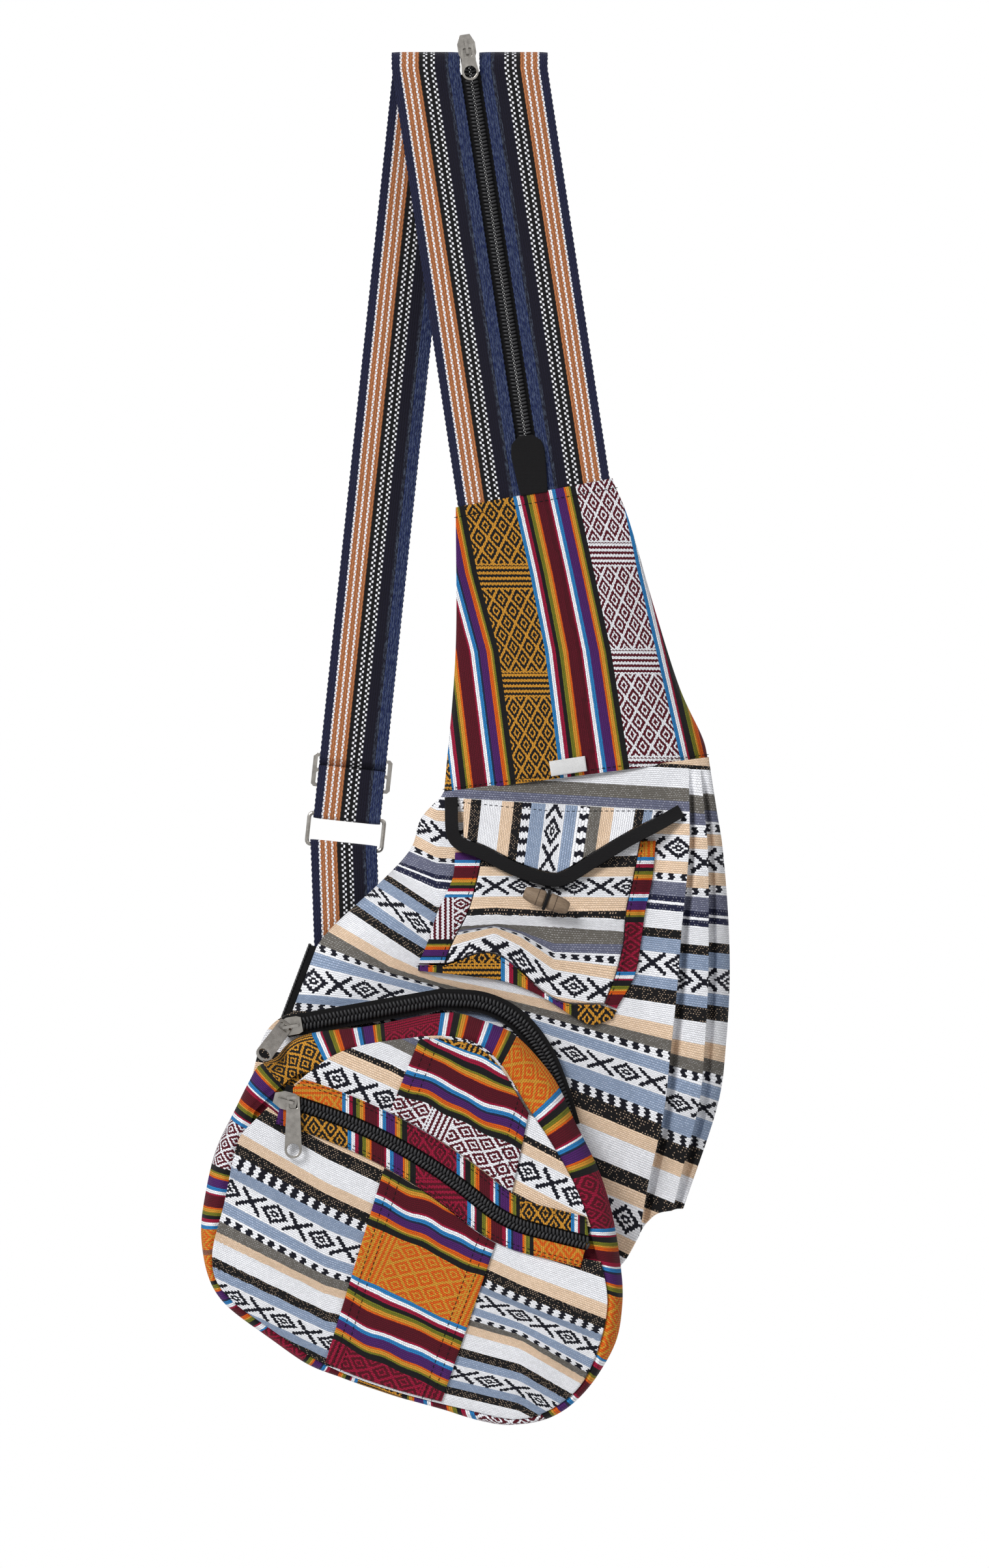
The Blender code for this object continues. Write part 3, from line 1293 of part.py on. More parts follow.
def face_panels():
    """Upper and lower panel of the pocket's face, their centre strips and the welts of the zip."""
    count = 22
    for name, sign, clockwise in (("upper", -1, True), ("lower", 1, False)):
        edge = resample(trimmed(inset(FACE_LINE, sign * (FACE_TAPE_HALF + GAP))), count)
        ends = [edge[0] - POCKET_MIDDLE, edge[-1] - POCKET_MIDDLE]
        angles = [math.atan2(p.y, p.x) for p in ends]
        border = outline_between(angles[0], angles[1], count, clockwise)
        cloth("face_" + name, ruled(edge, border, 7), face_y, CLOTH_THICK, "jacquard")
        welt_in = CHAIN_HALF + SEWN_GAP
        inner = resample(trimmed(inset(FACE_LINE, sign * welt_in)), 24)
        outer = resample(trimmed(inset(FACE_LINE, sign * (welt_in + WELT_WIDTH))), 24)
        rows = [[mix(a, b, k / 2) for k in range(3)] for a, b in zip(inner, outer)]
        cloth("welt_" + name, rows, lambda x, z: POCKET_FACE_Y - SEWN_GAP - CLOTH_THICK,
              CLOTH_THICK, "multicolour")


def at_x(line, x):
    """Point of a line that runs to the right, at one x."""
    for a, b in zip(line, line[1:]):
        if b.x >= x:
            return mix(a, b, (x - a.x) / (b.x - a.x))
    return line[-1]


def centre_strip(name, sign, drawing):
    """Coloured strip down the middle of one face panel, from the welt to the edge of the face."""
    (low, high), ends = drawing
    count = 7
    edge = inset(FACE_LINE, sign * (CHAIN_HALF + WELT_WIDTH + 2 * SEWN_GAP))
    first = POCKET_MIDDLE.x + low * POCKET_SCALE[0]
    last = POCKET_MIDDLE.x + high * POCKET_SCALE[0]
    inner = [at_x(edge, mix(first, last, k / count)) for k in range(count + 1)]
    angles = [math.atan2(p.y, p.x) for p in (pocket_point(end) - POCKET_MIDDLE for end in ends)]
    border = outline_between(angles[0], angles[1], count, sign < 0)
    border = [mix(p, POCKET_MIDDLE, 0.015) for p in border]
    cloth(name, ruled(inner, border, 8), lambda x, z: face_y(x, z) - SEWN_GAP - CLOTH_THICK,
          CLOTH_THICK, "multicolour")


def face_zip():
    """Curved zip in the pocket's face, with its slider at the left end."""
    frames = flat_frames(FACE_LINE, FACE_TAPE_BACK)
    sweep("face_zip_upper", frames, half_section(1, FACE_TAPE_HALF), "zip")
    sweep("face_zip_lower", frames, half_section(-1, FACE_TAPE_HALF), "zip")
    centre = face_zip_centre()
    axis = add_empty("face_slider_axis", Vector((centre.x, FACE_TAPE_BACK, centre.y)))
    heading = FACE_ZIP_HEADING
    start = face_zip_start()
    forward = Vector((-math.cos(heading), 0, -math.sin(heading)))
    point = Vector((start.x, FACE_TAPE_BACK, start.y)) - forward * 0.0025
    across = forward.cross(Vector((0, -1, 0)))
    body = slider("face_slider", point, across, forward, axis)
    pivot = point + Vector((0, -PULLER_HEIGHT, 0)) - forward * (BAIL_HALF_LENGTH - BAIL_THICK / 2)
    up = Vector((0, 0, 1))
    puller("face_puller", pivot, up.cross(Vector((0, -1, 0))), up, PULLER_LENGTH, body, 0.0027)


def main():
    """Make every piece of the backpack."""
    clear_scene()
    for side in SIDES:
        strap_band(side)
        lower_strap(side)
        triglide(side)
        ring(side)
    strap_zip()
    yoke()
    body()
    tag()
    side_zip()
    toggle_pocket()
    flap()
    toggle()
    pocket_back()
    pocket_gusset()
    face_panels()
    centre_strip("centre_strip_lower", 1, STRIP_LOWER)
    centre_strip("centre_strip_upper", -1, STRIP_UPPER)
    arch_zip()
    face_zip()


main()
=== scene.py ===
"""Woven cotton sling backpack: cloth, zips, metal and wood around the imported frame.

Shapes repeat the part's drawing in millimetres. Cloth pieces carry an attribute named cloth: the place along
the stripes, the place across them and the kind of pattern band, in millimetres of cloth.
"""

import math

import bmesh
import bpy
import numpy as np
from mathutils import Matrix, Vector, noise
from mathutils.bvhtree import BVHTree


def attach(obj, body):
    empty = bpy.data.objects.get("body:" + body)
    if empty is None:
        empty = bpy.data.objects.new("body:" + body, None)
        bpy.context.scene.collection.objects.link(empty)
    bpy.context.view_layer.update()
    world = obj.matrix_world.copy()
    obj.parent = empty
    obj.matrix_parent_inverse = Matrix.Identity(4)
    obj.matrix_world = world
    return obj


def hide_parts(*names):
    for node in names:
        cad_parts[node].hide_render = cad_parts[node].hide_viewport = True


bl_info = {
    "name": "Woven Sling Backpack",
    "version": (1, 0, 0),
    "blender": (4, 5, 0),
    "location": "View3D > Sidebar > Backpack",
    "description": "Dresses the sling backpack in woven cloth, zips, metal and wood",
    "category": "Object",
}

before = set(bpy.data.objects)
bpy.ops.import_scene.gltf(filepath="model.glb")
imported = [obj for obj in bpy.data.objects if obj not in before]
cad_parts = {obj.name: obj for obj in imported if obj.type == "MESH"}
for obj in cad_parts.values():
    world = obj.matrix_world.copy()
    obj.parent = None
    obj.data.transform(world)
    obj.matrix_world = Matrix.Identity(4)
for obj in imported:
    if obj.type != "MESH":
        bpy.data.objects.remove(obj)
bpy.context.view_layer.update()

GAP = 0.0003
SEWN_GAP = 0.0005
CLOTH = 0.0012
BAND_WIDTH = 0.0375
BAND_THICK = 0.0014
HANG_RADIUS = 0.009
STRAP_LENGTH = 0.241
STRAP_LEAN = math.radians(8.6)
BACK_RUN = 0.396
RUN_LEAN = {"left": math.radians(-6.1), "right": math.radians(7.9)}
LOWER_LENGTH = {"left": 0.243, "right": 0.190}
LOWER_LEAN = {"left": math.radians(2.2), "right": math.radians(1.0)}
WIRE = 0.0012
HARDWARE_Y = 0.016
BACK_FACE = 0.012
BACK_CLOTH = 0.0025
POCKET_BACK = -0.030
POCKET_FACE = -0.0585
TUBE_FULL = -0.046
SIDES = {"left": -1, "right": 1}
DOWN = Vector((math.sin(STRAP_LEAN), 0, -math.cos(STRAP_LEAN)))
ACROSS = Vector((math.cos(STRAP_LEAN), 0, math.sin(STRAP_LEAN)))
TO_FRONT = Vector((0, -1, 0))
CREST = Vector((0, 0, -HANG_RADIUS))
YOKE_TOP = CREST + DOWN * STRAP_LENGTH
SEAM = Vector((YOKE_TOP.x + 0.0235, 0, YOKE_TOP.z - 0.157))

SEAM_LEFT = (-74.0, -10.0)
SEAM_RIGHT = (74.3, 9.4)
LEFT_SHOULDER = (SEAM_LEFT, (-87, -24), (-92, -40), (-107, -57), (-136, -84), (-145, -95))
LEFT_ZIP_EDGE = ((-145, -95), (-190, -214))
LEFT_FOOT = ((-190, -214), (-196, -240), (-190, -276))
RIGHT_EDGE = (SEAM_RIGHT, (79, -21), (82, -40), (85, -76), (86, -112), (84, -149), (79, -185), (60, -242))
PLEATS = ((0.925, 0.875, 0.90), (0.965, 0.947, 0.975))
POCKET_CENTRE = (-90.0, -246.0)
ARCH_OUTLINE = ((-117, -12), (-114, 20), (-104, 50), (-87, 85), (-69, 107.5), (-27, 115), (15, 122.3),
                (38, 120.5), (56, 111.5), (70, 95), (79, 75), (88, 45), (96, 10), (100, -15), (103, -45),
                (99, -71), (82, -95), (56, -105), (30, -103), (-49, -80), (-80, -61), (-107, -41))
TUBE_OUTLINE = ((-117, -12), (-114, 20), (-105, 49), (-85, 88), (-74, 99), (-60, 108), (-42, 113),
                (-13, 116), (22, 114), (44, 109), (58, 101), (76, 80), (92, 49), (105, 20), (111.5, -8),
                (115, -44), (108, -73), (86, -101), (58, -111), (30, -107), (-49, -82), (-80, -63),
                (-107, -41))
FACE_OUTLINE = ((-111, -18), (-104, 13), (-97, 45), (-88, 57), (-66, 77), (-38, 96), (4, 103.5), (24, 103),
                (38, 98), (50, 86), (62, 66), (76, 45), (91, 17), (103, -20), (106.5, -48), (96, -82),
                (80, -99), (58, -107), (30, -102), (-13, -91), (-49, -77), (-78, -58), (-104, -38))
ARCH_RUN = ((-69, 107.5), (15, 122.3))
ARCH_BEND = ((38, 120.5), (56, 111.5), (70, 95), (79, 75), (86, 52))
FACE_ZIP_START = (-72.0, 68.8)
STRIP_LOWER = ((-16, 45), ((-50, -78), (16, -101)))
STRIP_UPPER = ((-13, 54), ((3, 102), (64, 62)))
TP_OUTER_LEFT = ((-67.5, -42.5), (-69, -57), (-77, -75), (-83, -93), (-88, -104))
TP_INNER_LEFT = ((-52, -42.5), (-55, -57), (-60, -75), (-69, -93), (-73, -104))
TP_INNER_RIGHT = ((35, -36), (31, -57), (27, -75), (25.5, -93), (21, -111), (15, -126))
TP_OUTER_RIGHT = ((44, -36), (42, -57), (38, -75), (35.5, -93), (32, -111), (22, -129))
TP_FACE_BOTTOM = ((-73, -104), (-45, -98), (-12, -123), (15, -126))
TP_BOTTOM = ((-88, -108), (-64, -110.5), (-40, -114), (-20, -122), (-1, -134), (9, -138), (20, -134.5))
FLAP_TOP = ((-74.5, -12), (57, -20))
FLAP_EDGE = ((-73.5, -12), (-72.5, -32), (-67, -40.5), (-53.7, -46), (-34.7, -55.4), (-15.6, -61.1),
             (-4, -59.3), (13, -49), (32, -37.7), (47, -30), (60, -22.5))
TOGGLE_AT = (-17.0, -68.6)
TAG_AT = ((-14.0, -0.6), (6.0, 2.4))
BINDING_WIDTH = 0.0073
BINDING_THICK = 0.0026
PANEL_FRONT = BACK_FACE - BACK_CLOTH
BANDS_APART = 0.011
UPPER_BAR = 0.0085
RING_AT = 0.0245
RING_LENGTH = 0.0175
TUCK_END = 0.0125
PLEAT_WIDTH = 0.07
YOKE_LIP = 0.0008
YOKE_SWELL = BACK_FACE + 0.011
TOGGLE_RADIUS = 0.0048
TOGGLE_GROOVE = TOGGLE_RADIUS * 0.80
STANDOFF = 0.0085
CORD_RADIUS = 0.0009
TAG_HEIGHT = 0.0085
TAPE_LIFT = 0.0018
EDGE_TAPE_HALF = 0.0059
FACE_TAPE_HALF = 0.0085
CHAIN_HALF = 0.0036
WELT_WIDTH = 0.0097
FACE_ARC = 0.287
FACE_BEND = 0.0687
FACE_HEADING = math.radians(-15)
FACE_SWEEP = math.radians(25)

# Where the front view is taken from, and how places in it are counted
VIEW = (0.0139, -2.6, -0.4088)
VIEW_FOLD = (716, 84)
VIEW_STEP = 0.000365
FLOOR_LEVEL = -1.3
ROOM_LIGHT = 0.28
LAMPS = (("key_light", 2.9, (55, 0, -37)), ("fill_light", 0.2, (65, 0, 45)),
         ("back_light", 1.3, (55, 0, 165)))
METAL_EDGE = 0.00018
METAL_WELD = 0.00001

# One repeat of the grey and white cloth: name and width of each stripe, 1 being 0.365 mm
JACQUARD = (("pattern", 40), ("peach", 18), ("black", 8), ("white", 32), ("olive", 20), ("slate", 15),
            ("checks", 13), ("peach", 17), ("pattern", 42), ("peach", 18), ("checks", 12), ("slate", 22),
            ("navy", 8), ("white", 4), ("navy", 6), ("white", 29), ("black", 18), ("blue", 19),
            ("pattern", 39), ("blue", 17), ("black", 20), ("white", 32), ("peach", 21), ("olive", 22),
            ("checks", 15), ("blue", 17), ("pattern", 40), ("blue", 25), ("checks", 16), ("black", 20),
            ("peach", 22), ("white", 35), ("black", 22), ("peach", 20))
UNIT = 0.365
STRIPE_STARTS = [UNIT * sum(w for _, w in JACQUARD[:k]) for k in range(len(JACQUARD) + 1)]

# One repeat of the many-coloured cloth: a pattern band of 28 mm and then these stripes
MANY_STRIPES = (("blue", 5), ("white", 6), ("crimson", 5), ("black", 9), ("green", 5), ("yellow", 5),
                ("orange", 5), ("maroon", 20), ("crimson", 4), ("white", 5), ("blue", 6), ("navy", 2),
                ("purple", 15), ("orange", 4), ("yellow", 4), ("green", 5), ("black", 8))
BAND_HEIGHT = 28.0
REPEAT = 64.0

# Webbing from its outer edge to the zip, in millimetres
WEBBING = (("navy", 4.4), ("tan", 10.9), ("black", 8.8), ("violet", 6.9), ("indigo", 6.5))
WEBBING_WIDTH = 37.5
WHITE_DASHES = ((5.0, 0.25), (8.6, 0.25), (12.2, 0.25), (18.4, 0.65), (22.6, 0.65))


class BagSizes(bpy.types.PropertyGroup):
    """Sizes of threads, teeth and stitches."""

    thread_along: bpy.props.FloatProperty(
        name="Thread length", description="Length of one weave cell along a stripe, in millimetres",
        default=1.5, min=0.5, max=4.0)
    thread_across: bpy.props.FloatProperty(
        name="Thread height", description="Height of one weave cell across a stripe, in millimetres",
        default=1.15, min=0.5, max=4.0)
    cord_width: bpy.props.FloatProperty(
        name="Webbing cord", description="Width of one cord of the webbing, in millimetres",
        default=1.25, min=0.5, max=4.0)
    wrinkle: bpy.props.FloatProperty(
        name="Wrinkle depth", description="Depth of the soft folds in the cloth",
        default=0.0011, min=0.0, max=0.004, unit="LENGTH")
    tooth_pitch: bpy.props.FloatProperty(
        name="Tooth pitch", description="Distance between two turns of the zip coil",
        default=0.0021, min=0.001, max=0.01, unit="LENGTH")
    stitch_length: bpy.props.FloatProperty(
        name="Stitch length", description="Distance between two stitches of a seam",
        default=0.0030, min=0.001, max=0.01, unit="LENGTH")


def colour_property(name, description, red, green, blue):
    """Colour property from 0 to 255 display values."""
    return bpy.props.FloatVectorProperty(name=name, description=description, subtype="COLOR", size=3,
                                         min=0.0, max=1.0, default=linear(red, green, blue))


def linear(red, green, blue):
    """Linear colour of 0 to 255 display values."""
    parts = (value / 255 for value in (red, green, blue))
    return tuple(p / 12.92 if p <= 0.04045 else ((p + 0.055) / 1.055) ** 2.4 for p in parts)


class BagColours(bpy.types.PropertyGroup):
    """Yarn colours."""

    white: colour_property("White", "White yarn", 246, 247, 252)
    peach: colour_property("Peach", "Peach yarn", 238, 208, 178)
    black: colour_property("Black", "Black yarn", 13, 12, 14)
    ink: colour_property("Ink", "Dark yarn of the patterns on white", 12, 13, 26)
    olive: colour_property("Olive grey", "Olive-grey yarn", 112, 108, 102)
    slate: colour_property("Slate", "Slate-grey yarn", 108, 111, 133)
    sky: colour_property("Blue-grey", "Light blue-grey yarn", 146, 163, 190)
    navy: colour_property("Navy", "Dark navy yarn", 30, 33, 60)
    tan: colour_property("Tan", "Brown yarn of the webbing", 180, 114, 72)
    violet: colour_property("Violet black", "Dark middle of the webbing", 15, 13, 30)
    indigo: colour_property("Indigo", "Blue side of the webbing", 22, 34, 76)
    maroon: colour_property("Maroon", "Maroon yarn", 84, 8, 26)
    crimson: colour_property("Crimson", "Crimson yarn", 152, 16, 54)
    orange: colour_property("Orange", "Orange yarn", 216, 92, 18)
    yellow: colour_property("Yellow", "Yellow yarn", 208, 146, 48)
    green: colour_property("Olive green", "Olive-green yarn", 112, 114, 32)
    blue: colour_property("Blue", "Bright blue yarn", 42, 124, 186)
    purple: colour_property("Purple", "Purple yarn", 74, 30, 98)


def sizes():
    """Sizes that the scene holds."""
    return bpy.context.scene.bag_sizes


def yarn(name):
    """Linear colour of a yarn, with alpha."""
    return (*getattr(bpy.context.scene.bag_colours, name), 1.0)


def ease(value):
    """Smooth step from 0 to 1."""
    value = min(max(value, 0.0), 1.0)
    return value * value * (3 - 2 * value)


def mix(a, b, share):
    """Value or vector a share of the way from a to b."""
    return a + (b - a) * share


def toward(angle):
    """Direction at an angle in the upright plane."""
    return Vector((math.cos(angle), math.sin(angle)))


def at_depth(point, y):
    """Point (x, z) of the upright plane at a depth."""
    return Vector((point.x, y, point.y))


def heading(line, i):
    """Direction of a line at one of its points."""
    return (line[min(i + 1, len(line) - 1)] - line[max(i - 1, 0)]).normalized()


def resample(line, count):
    """The line as count + 1 points at even distances."""
    reach = [0.0]
    for a, b in zip(line, line[1:]):
        reach.append(reach[-1] + (b - a).length)
    result = []
    k = 0
    for i in range(count + 1):
        target = reach[-1] * i / count
        while k < len(line) - 2 and reach[k + 1] < target:
            k += 1
        span = reach[k + 1] - reach[k]
        result.append(mix(line[k], line[k + 1], (target - reach[k]) / span if span else 0.0))
    return result


def curve_through(points, count, closed=False):
    """count + 1 evenly spaced points on a smooth curve through the given ones."""
    points = [Vector(p) for p in points]
    total = len(points)
    fine = []
    for i in range(total if closed else total - 1):
        if closed:
            a, b, c, d = (points[(i + k) % total] for k in (-1, 0, 1, 2))
        else:
            b, c = points[i], points[i + 1]
            a = points[i - 1] if i else b * 2 - c
            d = points[i + 2] if i + 2 < total else c * 2 - b
        for k in range(12):
            t = k / 12
            fine.append(0.5 * (2 * b + (c - a) * t + (2 * a - 5 * b + 4 * c - d) * t * t
                               + (3 * b - a - 3 * c + d) * t ** 3))
    fine.append(points[0] if closed else points[-1])
    return resample(fine, count)


def inset(line, distance):
    """Line moved to its right-hand side, seen along it."""
    result = []
    for i, p in enumerate(line):
        along = heading(line, i)
        result.append(p + Vector((along.y, -along.x)) * distance)
    return result


def ruled(upper, lower, rows):
    """Grid of (x, z) points between an upper and a lower line of as many points."""
    return [[mix(a, b, r / rows) for a, b in zip(upper, lower)] for r in range(rows + 1)]


def coons(top, bottom, left, right):
    """Grid between four border lines."""
    rows = len(left) - 1
    cols = len(top) - 1
    grid = []
    for r in range(rows + 1):
        v = r / rows
        grid.append([])
        for c in range(cols + 1):
            u = c / cols
            along = mix(top[c], bottom[c], v) + mix(left[r], right[r], u)
            corners = mix(mix(top[0], top[-1], u), mix(bottom[0], bottom[-1], u), v)
            grid[-1].append(along - corners)
    return grid


def on_body(point):
    """Point (x, z) in metres of a point on the front drawing."""
    return Vector((SEAM.x + point[0] * 0.001, SEAM.z + point[1] * 0.001))


def body_line(points, count):
    """Smooth line through points of the front drawing."""
    return curve_through([on_body(p) for p in points], count)


def seen(p):
    """Place of a point in the front view, in steps of 0.365 mm from its upper left corner."""
    x, y, z = VIEW
    depth = (p.y - y) / -y
    across = VIEW_FOLD[0] + ((p.x - x) / depth + x + 0.002) / VIEW_STEP
    return across, VIEW_FOLD[1] - ((p.z - z) / depth + z) / VIEW_STEP


class StripeField:
    """Where the stripes of a piece run: the same stripe edges measured at several places across it."""

    def __init__(self, places, edges, amounts):
        """Edges hold a row for each stripe edge, with its height at each place."""
        self.places = np.array(places, float)
        self.edges = np.array(edges, float)
        self.amounts = np.array(amounts, float)

    def at(self, place, height):
        """Place across the stripes, in millimetres of cloth."""
        k = int(np.clip(np.searchsorted(self.places, place) - 1, 0, len(self.places) - 2))
        share = (place - self.places[k]) / (self.places[k + 1] - self.places[k])
        line = self.edges[:, k] * (1 - share) + self.edges[:, k + 1] * share
        j = int(np.clip(np.searchsorted(line, height) - 1, 0, len(line) - 2))
        span = max(line[j + 1] - line[j], 0.3)
        part = (height - line[j]) / span
        if 0 < j < len(line) - 2:
            part = min(part, 1.0)
        return self.amounts[j] + (self.amounts[j + 1] - self.amounts[j]) * part


BODY_EDGES = (
    (1050, 1130, 1150, 1172), (1058, 1138, 1162, 1179), (1080, 1160, 1190, 1210), (1095, 1175, 1208, 1228),
    (1110, 1190, 1224, 1246), (1125, 1205, 1242, 1262), (1145, 1222, 1260, 1281), (1185, 1262, 1300, 1323),
    (1205, 1280, 1317, 1341), (1222, 1294, 1324, 1354), (1262, 1318, 1342, 1375), (1266, 1322, 1350, 1386),
    (1270, 1326, 1355, 1392), (1278, 1335, 1366, 1401), (1286, 1345, 1392, 1427), (1296, 1357, 1403, 1443),
    (1310, 1373, 1418, 1463), (1335, 1404, 1455, 1503), (1358, 1427, 1468, 1522), (1372, 1440, 1487, 1542),
    (1408, 1467, 1500, 1575), (1425, 1485, 1508, 1598), (1451, 1493, 1513, 1615), (1467, 1500, 1518, 1635),
    (1489, 1513, 1532, 1657), (1531, 1540, 1560, 1690), (1543, 1552, 1575, 1720), (1556, 1565, 1590, 1736),
    (1575, 1585, 1612, 1765), (1590, 1600, 1635, 1787), (1625, 1640, 1675, 1828), (1645, 1660, 1700, 1852),
    (1665, 1680, 1720, 1880))
BODY_FIELD = StripeField((500, 600, 670, 1040), BODY_EDGES, STRIPE_STARTS[2:35])
TOGGLE_FIELD = StripeField(
    (690, 760, 800, 850, 950),
    ((1345, 1345, 1345, 1347, 1346), (1378, 1376, 1376, 1376, 1377), (1395, 1391, 1393, 1397, 1395),
     (1408, 1405, 1407, 1409, 1412), (1424, 1420, 1421, 1423, 1430), (1430, 1421, 1430, 1447, 1448),
     (1434, 1422, 1434, 1463, 1466), (1437, 1423, 1437, 1471, 1482), (1452, 1432, 1452, 1488, 1505),
     (1500, 1480, 1500, 1530, 1548), (1518, 1500, 1518, 1548, 1566)), STRIPE_STARTS[:11])
FLAP_FIELD = StripeField(
    (1200, 1300), [(x + 5, x - 8 - 0.02 * (x - 850)) for x in
                   (703, 724, 739, 769, 788, 802, 816, 838, 868, 888, 911, 927, 946, 980, 991, 1006)],
    STRIPE_STARTS[34:18:-1])
FACE_LOWER_FIELD = StripeField(
    (400, 500, 799, 900),
    ((1723, 1780, 1920, 1955), (1757, 1815, 1952, 1990), (1775, 1832, 1972, 2013), (1793, 1850, 1989, 2029),
     (1816, 1866, 2002, 2042), (1832, 1887, 2009, 2050), (1873, 1927, 2031, 2081), (1893, 1946, 2043, 2098),
     (1911, 1962, 2052, 2110), (1927, 1976, 2058, 2118), (1938, 1987, 2072, 2130), (1968, 2016, 2097, 2155),
     (1979, 2027, 2108, 2166), (1997, 2045, 2122, 2180), (2027, 2075, 2145, 2205), (2036, 2084, 2155, 2215),
     (2050, 2098, 2168, 2228)), STRIPE_STARTS[32:15:-1])
FACE_UPPER_FIELD = StripeField(
    (480, 600, 850),
    ((1545, 1588, 1715), (1565, 1605, 1730), (1585, 1634, 1766), (1597, 1648, 1780), (1617, 1670, 1796),
     (1665, 1712, 1842)), (STRIPE_STARTS[5], STRIPE_STARTS[4], STRIPE_STARTS[3], STRIPE_STARTS[2],
                           STRIPE_STARTS[1], 0.0))
YOKE_FIELD = StripeField((760, 880, 1000, 1160),
                         ((610, 637, 668, 687), (710, 733, 766, 787), (788, 815, 838, 857),
                          (886, 912, 938, 963), (955, 980, 1008, 1044), (1052, 1080, 1108, 1150)),
                         (-36.0, 0.0, 28.0, 64.0, 92.0, 128.0))


def edge_at(line, t):
    """Point at share t of a finely sampled edge."""
    place = min(max(t, 0.0), 1.0) * (len(line) - 1)
    k = min(int(place), len(line) - 2)
    return mix(line[k], line[k + 1], place - k)


def body_edges():
    """Left and right edge of the body, with a straight stretch on the left for the side zip."""
    straight = [on_body(p) for p in LEFT_ZIP_EDGE]
    left = resample(body_line(LEFT_SHOULDER, 24) + straight[1:] + body_line(LEFT_FOOT, 12)[1:], 110)
    return left, resample(body_line(RIGHT_EDGE, 60), 110)


BODY_LEFT, BODY_RIGHT = body_edges()


def body_point(s, t):
    """Point (x, z) of the body at share s across and t down."""
    p = mix(edge_at(BODY_LEFT, t), edge_at(BODY_RIGHT, t), s)
    sag = max(0.0, math.sin(math.pi * s)) ** 1.3 * ease((0.955 - s) / 0.09)
    return p - Vector((0, 0.080 * t ** 4 * sag))


def pleat_at(k, t):
    """Share across at which a pleat edge runs."""
    a, b, c = PLEATS[k]
    return a * (1 - t) * (1 - 2 * t) + 4 * b * t * (1 - t) + c * t * (2 * t - 1)


def pleat_depth(s, t):
    """Depth of the knife pleats: each comes forward towards its edge and drops back behind it."""
    depth = 0.0
    for k in (0, 1):
        edge = pleat_at(k, t)
        if edge - PLEAT_WIDTH < s <= edge:
            depth = max(depth, (s - edge + PLEAT_WIDTH) / PLEAT_WIDTH)
    return 0.004 * depth * ease(t / 0.12) * (1 - 0.6 * ease((t - 0.9) / 0.1))


def fullness(s, power=2.6):
    """How far a row has swelled at share s of its width, 0 at the edges and 1 in the middle."""
    return max(0.0, 1 - abs(2 * s - 1) ** power) ** 0.6


def ripple(x, z, size=0.045):
    """Soft folds of the cloth, from -1 to 1."""
    return noise.noise(Vector((x / size, 0.3, z / size))) + 0.4 * noise.noise(
        Vector((x / size * 2.6, 4.0, z / size * 2.6)))


def body_front_y(s, t):
    """Front surface of the body."""
    edge = PANEL_FRONT - GAP - 0.015
    rise = 0.32 + 0.68 * ease(t / 0.30)
    swell = 0.022 * rise * (1 - 0.75 * ease((t - 0.72) / 0.28))
    return edge - swell * fullness(s, 5.0) - pleat_depth(s, t)


def body_skin():
    """Front of the body for finding what lies on it."""
    points = []
    for r in range(111):
        for c in range(91):
            points.append(at_depth(body_point(c / 90, r / 110), body_front_y(c / 90, r / 110)))
    faces = [(r * 91 + c, r * 91 + c + 1, r * 91 + c + 92, r * 91 + c + 91)
             for r in range(110) for c in range(90)]
    return BVHTree.FromPolygons(points, faces)


SKIN = body_skin()


def body_y(x, z):
    """Front surface of the body at any point (x, z)."""
    hit = SKIN.ray_cast(Vector((x, -1, z)), Vector((0, 1, 0)))[0]
    if hit is None:
        hit = SKIN.find_nearest(Vector((x, -0.02, z)))[0]
    return hit.y


def seat(x, z):
    """Back of what is sewn flat on the body."""
    return body_y(x, z) - SEWN_GAP


def link(name, mesh, material):
    """Object of a finished mesh with its material."""
    mesh.materials.clear()
    mesh.materials.append(material)
    item = bpy.data.objects.new(name, mesh)
    bpy.context.scene.collection.objects.link(item)
    return item


def solid(name, points, faces, coords, material, smooth_angle=50):
    """Object of a closed mesh, its faces turned outwards, with its cloth coordinates."""
    mesh = bpy.data.meshes.new(name)
    mesh.from_pydata([tuple(p) for p in points], [], faces)
    work = bmesh.new()
    work.from_mesh(mesh)
    bmesh.ops.recalc_face_normals(work, faces=work.faces)
    work.to_mesh(mesh)
    work.free()
    mesh.shade_smooth()
    mesh.set_sharp_from_angle(angle=math.radians(smooth_angle))
    if coords is not None:
        place = mesh.attributes.new("cloth", "FLOAT_VECTOR", "POINT")
        place.data.foreach_set("vector", [value for c in coords for value in c])
    return link(name, mesh, material)


def slab(name, front, back, cloth_at, material, rounding=0.4):
    """Closed piece between a front and a back grid, with its border rounded off."""
    rows, cols = len(front), len(front[0])
    points = [p.copy() for row in front + back for p in row]
    coords = [cloth_at(front[r][c], r, c) for r in range(rows) for c in range(cols)] * 2
    shift = rows * cols
    faces = []
    for r in range(rows - 1):
        for c in range(cols - 1):
            i = r * cols + c
            faces.append((i, i + 1, i + cols + 1, i + cols))
            faces.append((shift + i, shift + i + cols, shift + i + cols + 1, shift + i + 1))
    rim = list(range(cols))
    rim += [r * cols + cols - 1 for r in range(1, rows)]
    rim += [(rows - 1) * cols + c for c in range(cols - 2, -1, -1)]
    rim += [r * cols for r in range(rows - 2, 0, -1)]
    for i in rim:
        depth = points[shift + i].y - points[i].y
        points[i].y += min(depth, CLOTH) * rounding
    for a, b in zip(rim, rim[1:] + rim[:1]):
        faces.append((a, shift + a, shift + b, b))
    return solid(name, points, faces, coords, material)


